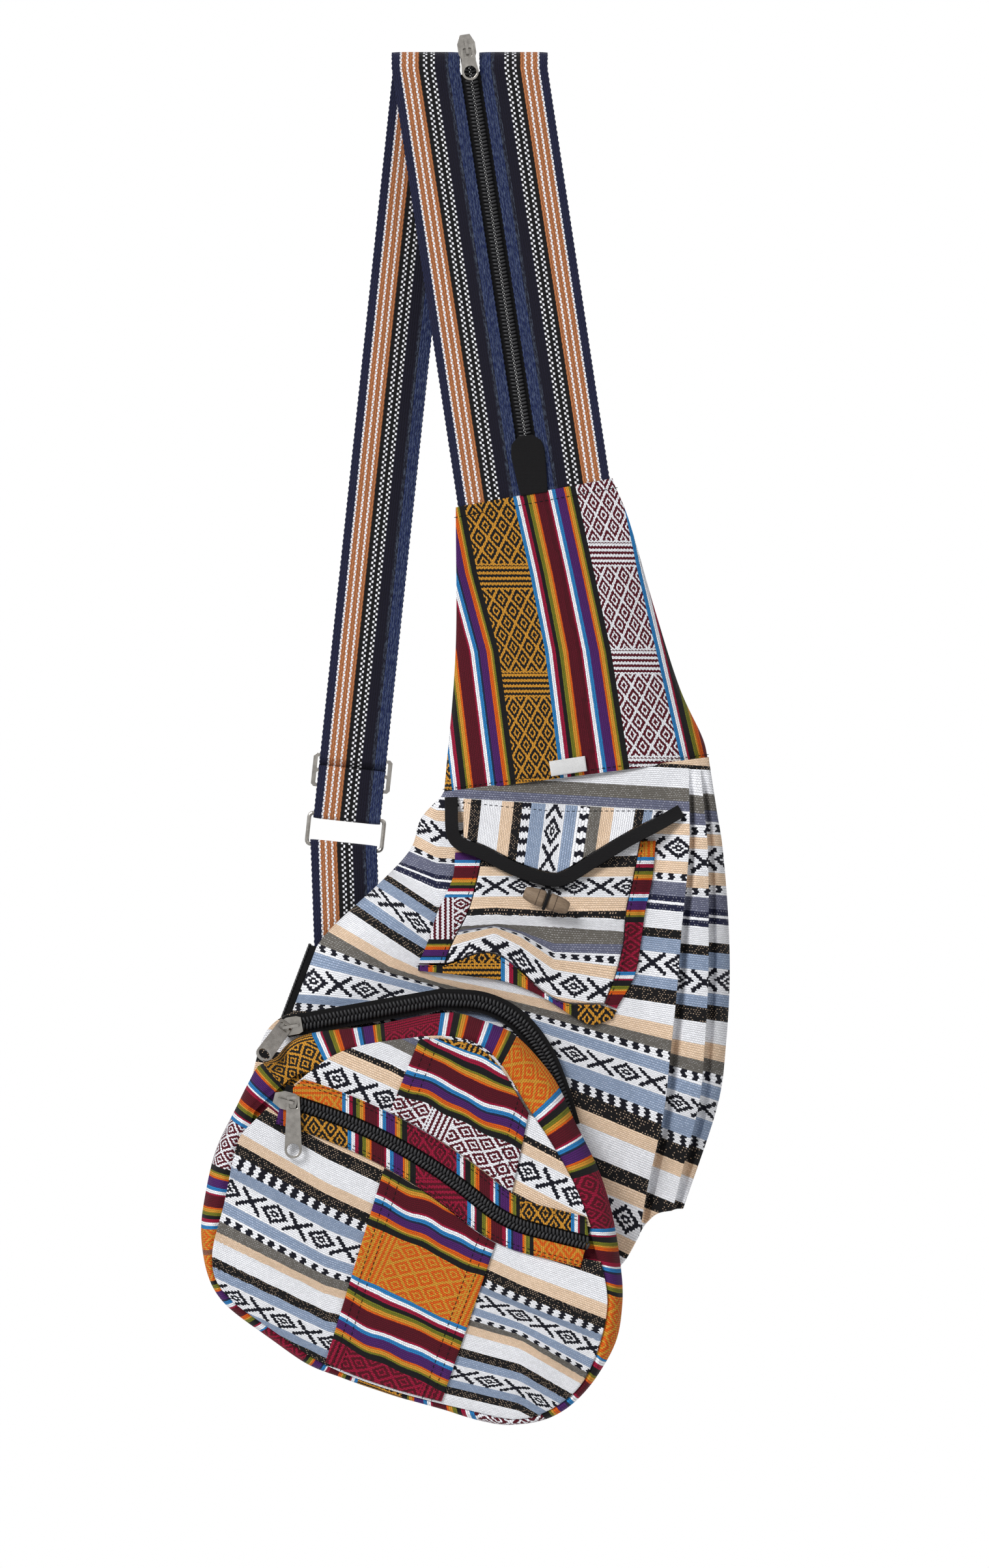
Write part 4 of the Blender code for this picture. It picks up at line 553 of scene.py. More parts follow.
def soften(grid, reach=0.0006):
    """The grid with one more line of points beside each border, so that the border can be rounded."""
    def widen(rows):
        first, last = ([mix(a, b, min(0.4, reach / max((b - a).length, 1e-9))) for a, b in zip(*pair)]
                       for pair in (rows[:2], rows[:-3:-1]))
        return [rows[0], first] + rows[1:-1] + [last, rows[-1]]
    turned_grid = widen([list(column) for column in zip(*widen(grid))])
    return [list(row) for row in zip(*turned_grid)]


def over(grid, depth_at):
    """Points over a grid of (x, z) points, at the depth that a function gives."""
    return [[at_depth(p, depth_at(p.x, p.y)) for p in row] for row in grid]


def sheet_piece(name, grid, front_y, thick, cloth_at, material):
    """Sheet of cloth over a grid of (x, z) points."""
    front = over(soften(grid), front_y)
    back = [[p + Vector((0, thick, 0)) for p in row] for row in front]
    return slab(name, front, back, cloth_at, material), front


def filled_piece(name, grid, front_y, back_y, cloth_at, material):
    """Filled piece over a grid of (x, z) points."""
    grid = soften(grid)
    front = over(grid, front_y)
    return slab(name, front, over(grid, back_y), cloth_at, material), front


def quads(rows, count):
    """Faces between rows of points that run round."""
    sides = [(k, (k + 1) % count) for k in range(count)]
    return [(i + a, i + b, i + count + b, i + count + a)
            for i in range(0, (rows - 1) * count, count) for a, b in sides]


def tube(name, points, count, coords, material, smooth_angle):
    """Solid of rows of points that run round, with a flat face at each end."""
    faces = [tuple(range(count)), tuple(range(len(points) - count, len(points)))]
    return solid(name, points, faces + quads(len(points) // count, count), coords, material, smooth_angle)


def sweep(name, frames, sections, coords, material, smooth_angle=50):
    """Solid with an (across, out) section at each frame of point, across and out."""
    if not isinstance(sections[0], list):
        sections = [sections] * len(frames)
    points = []
    for (point, across, out), section in zip(frames, sections):
        points += [point + across * u + out * n for u, n in section]
    return tube(name, points, len(sections[0]), coords, material, smooth_angle)


def finish(piece, body, slot, *nodes):
    """Put a finished piece on its body and in place of its nodes; the slot argument is not used."""
    if nodes:
        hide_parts(*nodes)
    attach(piece, body)
    return piece


def maths_method(operation, swapped=False):
    """Method of a value that adds one Math node; a swapped one puts the value second."""
    def method(self, *other):
        return self.net.maths(operation, *((*other, self) if swapped else (self, *other)))
    return method


class Term:
    """A node value that can be added, multiplied and compared like a number."""

    def __init__(self, net, socket):
        """Value of one socket in one tree."""
        self.net = net
        self.socket = socket

    __add__ = maths_method("ADD")
    __radd__ = maths_method("ADD", True)
    __sub__ = maths_method("SUBTRACT")
    __rsub__ = maths_method("SUBTRACT", True)
    __mul__ = maths_method("MULTIPLY")
    __rmul__ = maths_method("MULTIPLY", True)
    __truediv__ = maths_method("DIVIDE")
    __gt__ = maths_method("GREATER_THAN")
    __lt__ = maths_method("LESS_THAN")
    __abs__ = maths_method("ABSOLUTE")
    floor = maths_method("FLOOR")
    part = maths_method("FRACT")
    low = maths_method("MINIMUM")
    high = maths_method("MAXIMUM")


class Nodes:
    """Nodes of one tree."""

    def __init__(self, tree):
        """Nodes are added to the given tree."""
        self.tree = tree

    def node(self, kind, settings=None, inputs=None, output=0):
        """One node, its settings made before its sockets are filled."""
        node = self.tree.nodes.new(kind)
        for key, value in (settings or {}).items():
            if key == "stops":
                self.stops(node.color_ramp, value)
            else:
                setattr(node, key, value)
        for key, value in (inputs or {}).items():
            for one in value if isinstance(value, list) else [value]:
                if isinstance(one, Term):
                    self.tree.links.new(one.socket, node.inputs[key])
                else:
                    node.inputs[key].default_value = one
        return Term(self, node.outputs[output])

    def stops(self, ramp, values):
        """Fill a ramp with (place, colour) stops that hold their colour up to the next one."""
        ramp.interpolation = "CONSTANT"
        while len(ramp.elements) < len(values):
            ramp.elements.new(1.0)
        for element, (place, colour) in zip(ramp.elements, values):
            element.position = place
            element.color = colour

    def maths(self, operation, *values):
        """One Math node."""
        return self.node("ShaderNodeMath", {"operation": operation}, dict(enumerate(values)))

    def join(self, x, y, z=0.0):
        """Vector of three values."""
        return self.node("ShaderNodeCombineXYZ", None, {0: x, 1: y, 2: z})


class Net(Nodes):
    """Nodes of one material."""

    def __init__(self, name, roughness=0.9, metallic=0.0):
        """Principled material with its constant values."""
        self.material = bpy.data.materials.new(name)
        self.material.use_nodes = True
        super().__init__(self.material.node_tree)
        self.shader = self.tree.nodes["Principled BSDF"]
        for label, value in (("Roughness", roughness), ("Metallic", metallic),
                             ("Specular IOR Level", 0.5 if metallic else 0.25)):
            self.shader.inputs[label].default_value = value

    def blend(self, factor, low, high, kind="MIX"):
        """One colour over another."""
        return self.node("ShaderNodeMix", {"data_type": "RGBA", "blend_type": kind},
                         {0: factor, 6: low, 7: high}, 2)

    def flat(self, colour):
        """One colour alone."""
        return self.blend(0.0, colour, colour)

    def shade(self, colour, value):
        """A colour made darker or lighter by a value."""
        grey = self.node("ShaderNodeCombineColor", None, {0: value, 1: value, 2: value})
        return self.blend(1.0, colour, grey, "MULTIPLY")

    def split(self, vector, kind="ShaderNodeSeparateXYZ"):
        """Three values of a vector or a colour."""
        outputs = self.node(kind, None, {0: vector}).socket.node.outputs
        return [Term(self, outputs[k]) for k in range(3)]

    def cloth(self):
        """Place along and across the stripes and the kind of band."""
        return self.split(self.node("ShaderNodeAttribute", {"attribute_name": "cloth"}, None, 1))

    def place(self):
        """Place in the object, in metres."""
        return self.node("ShaderNodeTexCoord", None, None, 3)

    def clouds(self, vector, scale, detail=2.0, roughness=0.5):
        """Noise from 0 to 1."""
        return self.node("ShaderNodeTexNoise", None,
                         {"Vector": vector, "Scale": scale, "Detail": detail, "Roughness": roughness})

    def chance(self, vector):
        """A different value from 0 to 1 for each whole place."""
        return self.node("ShaderNodeTexWhiteNoise", {"noise_dimensions": "3D"}, {"Vector": vector})

    def set(self, colour, height=None, depth=0.0005, strength=1.0, roughness=None):
        """Feed the shader."""
        self.tree.links.new(colour.socket, self.shader.inputs["Base Color"])
        if roughness is not None:
            self.tree.links.new(roughness.socket, self.shader.inputs["Roughness"])
        if height is not None:
            bump = self.node("ShaderNodeBump", None,
                             {"Strength": strength, "Distance": depth, "Height": height})
            self.tree.links.new(bump.socket, self.shader.inputs["Normal"])
        return self.material


def between(value, low, high):
    """1 where a value lies between two limits."""
    return (value > low) * (value < high)


def weave(net, u, v, along, across):
    """Slanted grains of a weave: height, whole places, a value for each grain and the place in it."""
    warp = net.clouds(net.join(u * 0.7, v * 0.7), 1.0, 1.0)
    u = u + (warp - 0.5) * along * 0.45
    v = v + (net.clouds(net.join(v * 0.6, u * 0.5), 1.0, 1.0) - 0.5) * across * 0.35
    row = (v / across).floor()
    fv = v / across - row
    shift = (row * 0.5).part()
    slanted = u / along + shift + (fv - 0.5) * (shift * 4 - 1) * 0.4
    column = slanted.floor()
    fu = slanted - column
    lean = (fu * 2 - 1) * (fu * 2 - 1)
    rise = (fv * 2 - 1) * (fv * 2 - 1)
    height = 1 - 0.45 * lean * rise - 0.32 * rise * rise - 0.2 * lean * lean
    chance = net.chance(net.join(column, row))
    return height, (column - shift + 0.5) * along, (row + 0.5) * across, chance, (fu, fv)


def woven_finish(net, colour, height, chance, u, v, gap_shade=0.50):
    """Paint shade into the gaps of a weave, vary its threads and give it relief."""
    fibres = net.clouds(net.join(u * 0.9, v * 3.0), 1.6, 3.0, 0.65)
    broad = net.clouds(net.join(u * 0.03, v * 0.03), 1.0, 2.0)
    # painted shade: the colour is darkened where the weave is low, in the gaps between its grains
    level = (gap_shade + (1 - gap_shade) * height) * (0.92 + 0.12 * chance) * (0.76 + 0.56 * fibres)
    level = level * (0.93 + 0.12 * broad)
    return net.set(net.shade(colour, level), height + 0.5 * fibres + 0.2 * chance, 0.0007, 1.0)


YARN_OF = {"pattern": "white", "checks": "white", "blue": "sky"}
CODES = {"pattern": 0.9, "checks": 0.6, "black": 0.3}


def stripe_ramps(net, v, stops_of):
    """Value of a long list of stripes: two ramps, one for each half of the list."""
    half = len(JACQUARD) // 2
    middle = STRIPE_STARTS[half]
    end = STRIPE_STARTS[-1]
    results = []
    for low, high, span in ((0, half, middle), (half, len(JACQUARD), end - middle)):
        start = STRIPE_STARTS[low]
        stops = [((STRIPE_STARTS[k] - start) / span, stops_of(k)) for k in range(low, high)]
        results.append(net.node("ShaderNodeValToRGB", {"stops": stops}, {0: (v - start) / span}))
    return net.blend(v > middle, results[0], results[1])


def code_of(k):
    """Pattern code, middle and half height of one stripe, as a colour."""
    middle = (STRIPE_STARTS[k] + STRIPE_STARTS[k + 1]) / 2
    return (CODES.get(JACQUARD[k][0], 0.0), middle / STRIPE_STARTS[-1], JACQUARD[k][1] * UNIT / 20, 1.0)


def rings_and_crosses(p, q):
    """Mask of the diamond rings and crosses that alternate along a pattern band."""
    spot = p / 29.0
    near = abs(spot.part() - 0.5) * 29.0
    far = 14.5 - near
    ring = far / 8.6 + abs(q) / 6.3
    arm = abs(near - abs(q) * 1.25)
    rings = between(ring, 0.60, 1.0) + between(ring, 0.12, 0.38)
    return (rings + (arm < 1.75) * (abs(q) < 6.0) * (near < 7.4)).low(1.0)


def jacquard_cloth():
    """Grey, white and peach cloth with rings, crosses and checks."""
    net = Net("grey_striped_cloth", 0.92)
    u, v, _ = net.cloth()
    total = STRIPE_STARTS[-1]
    v = (v / total).part() * total
    size = sizes()
    height, qu, qv, chance, (fu, fv) = weave(net, u, v, size.thread_along, size.thread_across)
    colour = stripe_ramps(net, qv, lambda k: yarn(YARN_OF.get(JACQUARD[k][0], JACQUARD[k][0])))
    codes = stripe_ramps(net, qv, code_of)
    code, middle, half = net.split(codes, "ShaderNodeSeparateColor")
    q = qv - middle * total
    pattern = rings_and_crosses(qu * 0.5 + u * 0.5, q)
    blocks = ((qu / 6.7).part() > 0.5) * (abs(q) < half * 10 - 0.5)
    flecks = between(fu, 0.30, 0.66) * between(fv, 0.30, 0.68) * (chance > 0.45)
    ink = pattern * (code > 0.8) + blocks * between(code, 0.5, 0.7)
    colour = net.blend(ink.low(1.0), colour, yarn("ink"))
    colour = net.blend(flecks * between(code, 0.2, 0.4) * 0.5, colour, yarn("peach"))
    colour = net.blend(flecks * (code < 0.1) * 0.22, colour, yarn("white"))
    return woven_finish(net, colour, height, chance, u, v, 0.48)


# Ground and figure of the four kinds of pattern band
BAND_YARNS = (("orange", "yellow"), ("maroon", "white"), ("black", "yellow"), ("maroon", "crimson"))


def many_stops():
    """Stops of one repeat of the many-coloured stripes, after the pattern band."""
    total = sum(w for _, w in MANY_STRIPES)
    place = BAND_HEIGHT / REPEAT
    stops = [(0.0, yarn("black"))]
    for name, width in MANY_STRIPES:
        stops.append((place, yarn(name)))
        place += width / total * (1 - BAND_HEIGHT / REPEAT)
    return stops


def nested_diamonds(u, v):
    """Mask of nested diamonds in blocks with bars between them."""
    p = (u / 13.6 + v / 9.33).part() - 0.5
    r = (u / 13.6 - v / 9.33).part() - 0.5
    ring = abs(p).high(abs(r)) * 2
    diamonds = between(ring, 0.26, 0.48) + (ring > 0.83)
    block = (u / 60.0).part() * 60.0
    bars = (block / 3.0).part() > 0.5
    rim = abs(block - 7.2) > 6.2
    in_bars = block < 14.4
    return (in_bars * (bars * (1 - rim) + rim) + (1 - in_bars) * diamonds).low(1.0)


def many_coloured_cloth():
    """Cloth with bright stripes and bands of nested diamonds."""
    net = Net("many_coloured_cloth", 0.9)
    u, v, kind = net.cloth()
    size = sizes()
    height, qu, qv, chance, _ = weave(net, u, v, size.thread_along * 0.85, size.thread_across * 0.86)
    place = (qv / REPEAT).part()
    colour = net.node("ShaderNodeValToRGB", {"stops": many_stops()}, {0: place})
    mask = nested_diamonds(mix(qu, u, 0.6), mix(place, (v / REPEAT).part(), 0.6) * REPEAT)
    in_band = place < BAND_HEIGHT / REPEAT
    ground, figure = (band_colour(net, kind, side) for side in (0, 1))
    colour = net.blend(in_band, colour, net.blend(mask, ground, figure))
    return woven_finish(net, colour, height, chance, u, v, 0.36)


def band_colour(net, kind, side):
    """Ground or figure colour of the band's kind."""
    colour = yarn(BAND_YARNS[0][side])
    for k in (1, 2, 3):
        colour = net.blend(kind > k - 0.5, colour, yarn(BAND_YARNS[k][side]))
    return colour


def webbing_cloth():
    """Striped webbing of thick cords, with broken white threads between them."""
    net = Net("striped_webbing", 0.9)
    u, v, _ = net.cloth()
    height, _, qv, chance, _ = weave(net, u, v, 3.0, sizes().cord_width)
    stops = [(sum(width for _, width in WEBBING[:k]) / WEBBING_WIDTH, yarn(name))
             for k, (name, _) in enumerate(WEBBING)]
    colour = net.node("ShaderNodeValToRGB", {"stops": stops}, {0: qv / WEBBING_WIDTH})
    blue = net.clouds(net.join(u * 0.30, v * 1.1), 1.0, 2.0, 0.7)
    colour = net.blend(((blue - 0.42) * 3).high(0.0).low(1.0) * (v > 29.5) * 0.30, colour, yarn("sky"))
    side = ((u / 3.0).part() > 0.5) * 2 - 1
    dashes = sum(abs(v + side * swing - middle) < 0.52 for middle, swing in WHITE_DASHES)
    dashes = dashes * ((u / 1.5).part() > 0.16)
    colour = net.blend(dashes.low(1.0), colour, yarn("white"))
    return woven_finish(net, colour, (height + dashes * 0.4).low(1.0), chance, u, v, 0.25)


def plain_cloth(name, colour, gap_shade=0.6, along=0.8, across=0.7):
    """Plain cloth of one yarn, for lining and tapes."""
    net = Net(name, 0.92)
    x, y, z = net.split(net.place())
    u = x * 1000
    v = z * 1000 + y * 600
    height, _, _, chance, _ = weave(net, u, v, along, across)
    return woven_finish(net, net.flat(yarn(colour)), height, chance, u, v, gap_shade)


def coil_plastic():
    """Black nylon of the zip coil."""
    net = Net("black_coil", 0.42)
    spots = net.clouds(net.place(), 900.0, 2.0)
    colour = net.blend(spots, (0.010, 0.010, 0.011, 1), (0.030, 0.030, 0.033, 1))
    return net.set(colour, spots, 0.0001, 0.3, 0.34 + 0.2 * spots)


def nickel_metal():
    """Worn nickel of sliders, pullers, adjusters and rings."""
    net = Net("worn_nickel", 0.3, metallic=1.0)
    broad = net.clouds(net.place(), 240.0, 4.0, 0.6)
    fine = net.clouds(net.place(), 2600.0, 2.0, 0.7)
    colour = net.blend(broad, (0.13, 0.12, 0.11, 1), (0.42, 0.40, 0.37, 1))
    return net.set(colour, fine + broad, 0.0001, 0.3, 0.16 + 0.22 * broad)


def toggle_wood():
    """Grey-brown wood with fine grain along the toggle."""
    net = Net("toggle_wood", 0.55)
    u, v, ring = net.cloth()
    stretched = net.join(u * 0.10, v * 1.2, ring)
    grain = net.clouds(stretched, 1.0, 5.0, 0.65)
    pores = net.clouds(net.join(u * 0.5, v * 6.0, ring), 1.0, 2.0, 0.7)
    colour = net.blend(grain, (0.075, 0.046, 0.028, 1), (0.34, 0.25, 0.17, 1))
    colour = net.shade(colour, 0.72 + 0.45 * pores)
    line = abs(abs(u) - 5.2) < 0.22
    colour = net.blend(line * 0.85, colour, (0.03, 0.015, 0.01, 1))
    return net.set(colour, grain + pores * 0.5 - line * 1.2, 0.0003, 0.6)


def tag_cloth():
    """White woven tape, blank."""
    net = Net("white_tape", 0.8)
    x, _, z = net.split(net.place())
    u, v = x * 1000, z * 1000
    height, _, _, chance, _ = weave(net, u, v, 0.5, 0.4)
    return woven_finish(net, net.flat((0.98, 0.98, 0.98, 1)), height, chance, u, v, 0.92)


MAKERS = {
    "jacquard": jacquard_cloth, "many": many_coloured_cloth, "webbing": webbing_cloth, "coil": coil_plastic,
    "nickel": nickel_metal, "wood": toggle_wood, "tag": tag_cloth,
    "lining": lambda: plain_cloth("black_lining", "black", 0.6),
    "binding": lambda: plain_cloth("black_tape", "black", 0.4),
    "tape": lambda: plain_cloth("zip_tape", "black", 0.35, 0.9, 0.45),
    "thread": lambda: plain_cloth("sewing_thread", "black", 0.7, 0.4, 0.4)}


class Finishes(dict):
    """Materials, each made when it is first used."""

    def __missing__(self, name):
        """Make one material."""
        self[name] = MAKERS[name]()
        return self[name]


MATERIALS = Finishes()


def wrap_line(pegs, turn_step=math.radians(12)):
    """Line drawn tight around round pegs (centre, signed radius); the sign says on which side it turns."""
    line = []
    joins = []
    for (a, ra), (b, rb) in zip(pegs, pegs[1:]):
        reach = b - a
        lean = math.asin((ra - rb) / reach.length)
        along = (Matrix.Rotation(lean, 2) @ reach).normalized()
        left = Vector((-along.y, along.x))
        joins.append((a - left * ra, b - left * rb))
    for i, (centre, radius) in enumerate(pegs):
        entry = joins[i - 1][1] if i else centre
        leave = joins[i][0] if i < len(joins) else centre
        line.append(entry)
        if radius and 0 < i < len(joins):
            start = math.atan2(entry.y - centre.y, entry.x - centre.x)
            turn = math.atan2(leave.y - centre.y, leave.x - centre.x) - start
            turn = turn % (2 * math.pi) if radius > 0 else -((-turn) % (2 * math.pi))
            steps = max(1, math.ceil(abs(turn) / turn_step))
            for k in range(1, steps):
                angle = start + turn * k / steps
                line.append(centre + toward(angle) * abs(radius))
            line.append(leave)
    return line


def run_down(side):
    """Direction in which the band of one side goes down behind the bag."""
    return Vector((math.sin(RUN_LEAN[side]), 0, -math.cos(RUN_LEAN[side])))


def across_of(down):
    """Width direction of a band that goes down in the upright plane."""
    return Vector((-down.z, 0, down.x))


def crest_of(side):
    """Point on the axis that the band of one side bends over."""
    return CREST + Vector(((BANDS_APART + BAND_WIDTH) / 2 / ACROSS.x * SIDES[side], 0, 0))


def hardware_place(side):
    """Middle bar of one adjuster."""
    place = crest_of(side) + run_down(side) * BACK_RUN
    return Vector((place.x, HARDWARE_Y, place.z))


def split_long(points, acrosses, step=0.00075):
    """Points and widths with long stretches cut into short ones."""
    result = [(points[0], acrosses[0])]
    for a, b, wa, wb in zip(points, points[1:], acrosses, acrosses[1:]):
        count = max(1, math.ceil((b - a).length / step))
        result += [(mix(a, b, k / count), mix(wa, wb, k / count)) for k in range(1, count + 1)]
    return [p for p, _ in result], [w for _, w in result]


def band_section():
    """Section of the webbing, slightly thicker in the middle and thin at its woven edges."""
    half = BAND_WIDTH / 2
    places = [k / 10 - 1 for k in range(21)]
    lift = [BAND_THICK / 2 * (0.62 + 0.38 * max(0.0, 1 - abs(p) ** 8)) for p in places]
    return [(p * half, -h) for p, h in zip(places, lift)] + [(p * half, h) for p, h in
                                                            reversed(list(zip(places, lift)))]


def band(name, side, points, acrosses):
    """Webbing along a line of points, its pattern running with its length."""
    points, acrosses = split_long(points, acrosses)
    frames, sections, coords = [], [], []
    reach = 0.0
    section = band_section()
    for i, (point, across) in enumerate(zip(points, acrosses)):
        along = heading(points, i)
        reach += (point - points[i - 1]).length if i else 0.0
        frames.append((point, across, along.cross(across).normalized()))
        edge = 1 + 0.012 * math.sin(reach / 0.0030 * math.pi * 2)
        sections.append([(u * edge, n) for u, n in section])
        for u, _ in section:
            coords.append((reach * 1000, (BAND_WIDTH / 2 - u * SIDES[side]) * 1000, 0.0))
    return sweep(name, frames, sections, coords, MATERIALS["webbing"], 70)


def strap_band(side):
    """One woven band: up the front, over the top, down the back and round adjuster and ring."""
    down = run_down(side)
    across = across_of(down)
    crest = crest_of(side)
    level = Vector((1 / ACROSS.x, 0, 0))
    bend = HANG_RADIUS + BAND_THICK / 2
    near = WIRE + GAP + BAND_THICK / 2
    far = near + BAND_THICK + GAP
    points = [crest + DOWN * (STRAP_LENGTH + 0.012) * share + Vector((0, -bend, 0)) for share in (1, 0.5)]
    points += [crest + Vector((0, -bend * math.cos(a), bend * math.sin(a)))
               for a in (math.pi * k / 16 for k in range(17))]
    acrosses = [level] * len(points)
    origin = hardware_place(side)
    start = Vector((bend - HARDWARE_Y, -BACK_RUN))
    pegs = [(mix(start, Vector((-near, 0)), 0.1), 0.0), (mix(start, Vector((-near, -UPPER_BAR)), 0.5), 0.0),
            (Vector((0, -UPPER_BAR)), -near), (Vector((0, 0)), far),
            (Vector((far, TUCK_END + 2 * GAP + BAND_THICK)), 0.0), (Vector((0, RING_AT)), near),
            (Vector((0, 0)), near), (Vector((near, TUCK_END)), 0.0)]
    for flat in wrap_line(pegs):
        points.append(origin + Vector((0, flat.x, 0)) + down * flat.y)
        acrosses.append(across)
    return band("strap_cloth_" + side, side, points, acrosses)


def lower_strap(side):
    """Short band from the ring down to the bottom of the back panel."""
    down = Vector((math.sin(LOWER_LEAN[side]), 0, -math.cos(LOWER_LEAN[side])))
    origin = hardware_place(side) + run_down(side) * (RING_AT + RING_LENGTH)
    resting = BACK_FACE + GAP + BAND_THICK / 2 - HARDWARE_Y
    near = WIRE + GAP + BAND_THICK / 2
    length = LOWER_LENGTH[side]
    pegs = [(Vector((near, TUCK_END)), 0.0), (Vector((0, 0)), -near),
            (Vector((resting, length * 0.35)), 0.0), (Vector((resting, length)), 0.0)]
    points = [origin + Vector((0, flat.x, 0)) + down * flat.y for flat in wrap_line(pegs)]
    start = across_of(run_down(side))
    end = across_of(down)
    reach = [abs((p - origin).dot(down)) / length for p in points]
    acrosses = [mix(start, end, ease(share * 4)).normalized() for share in reach]
    return band("lower_strap_cloth_" + side, side, points, acrosses)


def yoke_lines(count):
    """Left and right edge of the yoke."""
    lift = toward(math.radians(10.5))
    middle = Vector((YOKE_TOP.x, YOKE_TOP.z))
    reach = (BANDS_APART + BAND_WIDTH) / 2 + BAND_WIDTH / 2 + 0.0015
    top_left = middle - lift * reach
    top_right = middle + lift * reach
    low_left = on_body(SEAM_LEFT) + Vector((0, GAP))
    low_right = on_body(SEAM_RIGHT) + Vector((0, GAP))
    height = top_left.y - low_left.y
    left = [top_left, mix(top_left, low_left, 0.5) + Vector((0.02 * height, 0)), low_left]
    span = low_right - top_right
    right = [top_right] + [top_right + Vector((span.x * x, span.y * y))
                           for x, y in ((0.17, 0.145), (0.43, 0.45), (0.70, 0.74), (0.94, 0.92))]
    return curve_through(left, count), curve_through(right + [low_right], count)


def yoke_back_y(share):
    """Front face of the yoke's back layer."""
    return mix(-HANG_RADIUS + YOKE_LIP + 2 * GAP, PANEL_FRONT, ease((share - 0.12) / 0.88))


def bands_of(amount, edges, kinds):
    """Kind of the pattern band at a place across the stripes."""
    return kinds[sum(amount > edge for edge in edges)]


def cloth_map(u_at, v_at, edges=(), kinds=(0.0,)):
    """Cloth place of a piece, from functions of a point and of its place in the front view."""
    def place(p, *_):
        across, down = seen(p)
        v = v_at(across, down)
        return (u_at(p, across, down), v, bands_of(v, edges, kinds))
    return place


def yoke_cloth(p, *_):
    """Cloth place of the yoke: stripes run down and spread a little."""
    across, down = seen(p)
    v = YOKE_FIELD.at(down, across)
    kind = bands_of(v, (46,), (2, 1))
    return (-p.z * 1000 + (26.9 if kind == 1 else 14.1), v, kind)


def yoke_grids():
    """Front and back grids of both yoke layers."""
    rows, cols = 70, 60
    left, right = yoke_lines(rows)
    grids = ([], [], [], [])
    wrinkle = sizes().wrinkle
    for r in range(rows + 1):
        share = r / rows
        base = yoke_back_y(share)
        spread = mix(BAND_THICK + 2 * GAP, GAP, ease((share - 0.15) / 0.2))
        swell = YOKE_SWELL * ease(share)
        lines = ([], [], [], [])
        for c in range(cols + 1):
            s = c / cols
            p = mix(left[r], right[r], s) + Vector((0, 0 if r else 0.0010))
            fold = wrinkle * ripple(p.x, p.y) * ease(share / 0.3) * ease((1 - share) / 0.1)
            y = base - YOKE_LIP - GAP - spread - swell * fullness(s) - max(fold, -0.0001)
            for line, depth in zip(lines, (y - CLOTH, y, base, base + BACK_CLOTH)):
                line.append(at_depth(p, depth))
        for grid, line in zip(grids, lines):
            grid.append(line)
    return grids


def no_cloth(p, *_):
    """Cloth place of plain cloth."""
    return (p.x * 1000, p.z * 1000, 0.0)


def body_cloth_at(s, t, p):
    """Cloth place of the body: the stripes step where a pleat folds over."""
    across, down = seen(p)
    step = 14 if s > pleat_at(1, t) else 20 if s > pleat_at(0, t) else 0
    return (p.x * 1000, BODY_FIELD.at(across, down - step * ease(t / 0.15)), 0.0)


def body_columns(t):
    """Shares across at which the body has points, close together at the pleats."""
    first, second = pleat_at(0, t), pleat_at(1, t)
    plain = [(first - PLEAT_WIDTH) * k / 80 for k in range(81)]
    result = [0.0, 0.002] + plain[1:]
    for low, edge in ((first - PLEAT_WIDTH, first), (first + 0.0025, second)):
        result += [mix(low, edge, k / 10) for k in range(1, 11)]
        result += [edge + 0.0012, edge + 0.0025]
    return result + [mix(result[-1], 1.0, k / 8) for k in range(1, 8)] + [0.999, 1.0]


def pleat_shadow(s, t):
    """How far the cloth goes in just behind each pleat edge."""
    depth = 0.0
    for k in (0, 1):
        past = s - pleat_at(k, t)
        if 0 < past < 0.03:
            depth = 0.0042 * math.sin(math.pi * min(past / 0.022, 1.0)) * ease(t / 0.1)
    return depth


def body_front():
    """Pleated front with the closed main compartment."""
    front, back, places = [], [], []
    wrinkle = sizes().wrinkle
    for r in range(151):
        t = r / 150
        columns = body_columns(t)
        front.append([])
        back.append([])
        places.append(columns)
        for s in columns:
            p = body_point(s, t) + Vector((0, 0 if r else 0.0012))
            fold = wrinkle * 0.8 * max(0.0, ripple(p.x, p.y, 0.03)) * ease(s / 0.04) * ease((1 - s) / 0.02)
            y = body_front_y(s, t) - fold * ease((1 - t) / 0.1) * ease(t / 0.05) + pleat_shadow(s, t)
            front[-1].append(at_depth(p, y))
            back[-1].append(at_depth(p, PANEL_FRONT - GAP))
    return slab("body_cloth", front, back,
                lambda p, r, c: body_cloth_at(places[r][c], r / 150, p), MATERIALS["jacquard"], 0.8)


def body_back():
    """Flat back panel of black lining cloth."""
    grid = soften([[body_point(k / 40, r / 60) for k in range(41)] for r in range(61)])
    front, back = (over(grid, lambda x, z, y=y: y) for y in (PANEL_FRONT, BACK_FACE))
    return slab("back_panel_cloth", front, back, no_cloth, MATERIALS["lining"], 0.2)


def toggle_pocket_y(x, z):
    """Front surface of the toggle pocket's cloth."""
    left = on_body(TP_OUTER_LEFT[0])
    right = on_body(TP_OUTER_RIGHT[0])
    low = on_body(TP_BOTTOM[2])
    drop = (left.y - z) / (left.y - low.y)
    lean = (on_body(TP_OUTER_LEFT[-1]).x - left.x) * drop
    s = (x - left.x - lean) / (right.x - left.x - 0.1 * lean)
    lift = 0.0050 * fullness(min(max(s, 0.0), 1.0), 4.0) * (1 - 0.7 * ease((drop - 0.6) / 0.4))
    return body_y(x, z) - SEWN_GAP - CLOTH - lift


def flap_y(x, z):
    """Front surface of the flap's cloth."""
    a, b = (on_body(p) for p in FLAP_TOP)
    top = mix(a.y, b.y, (x - a.x) / (b.x - a.x))
    return body_y(x, z) - CLOTH - mix(SEWN_GAP, STANDOFF, ease((top - z) / 0.018))


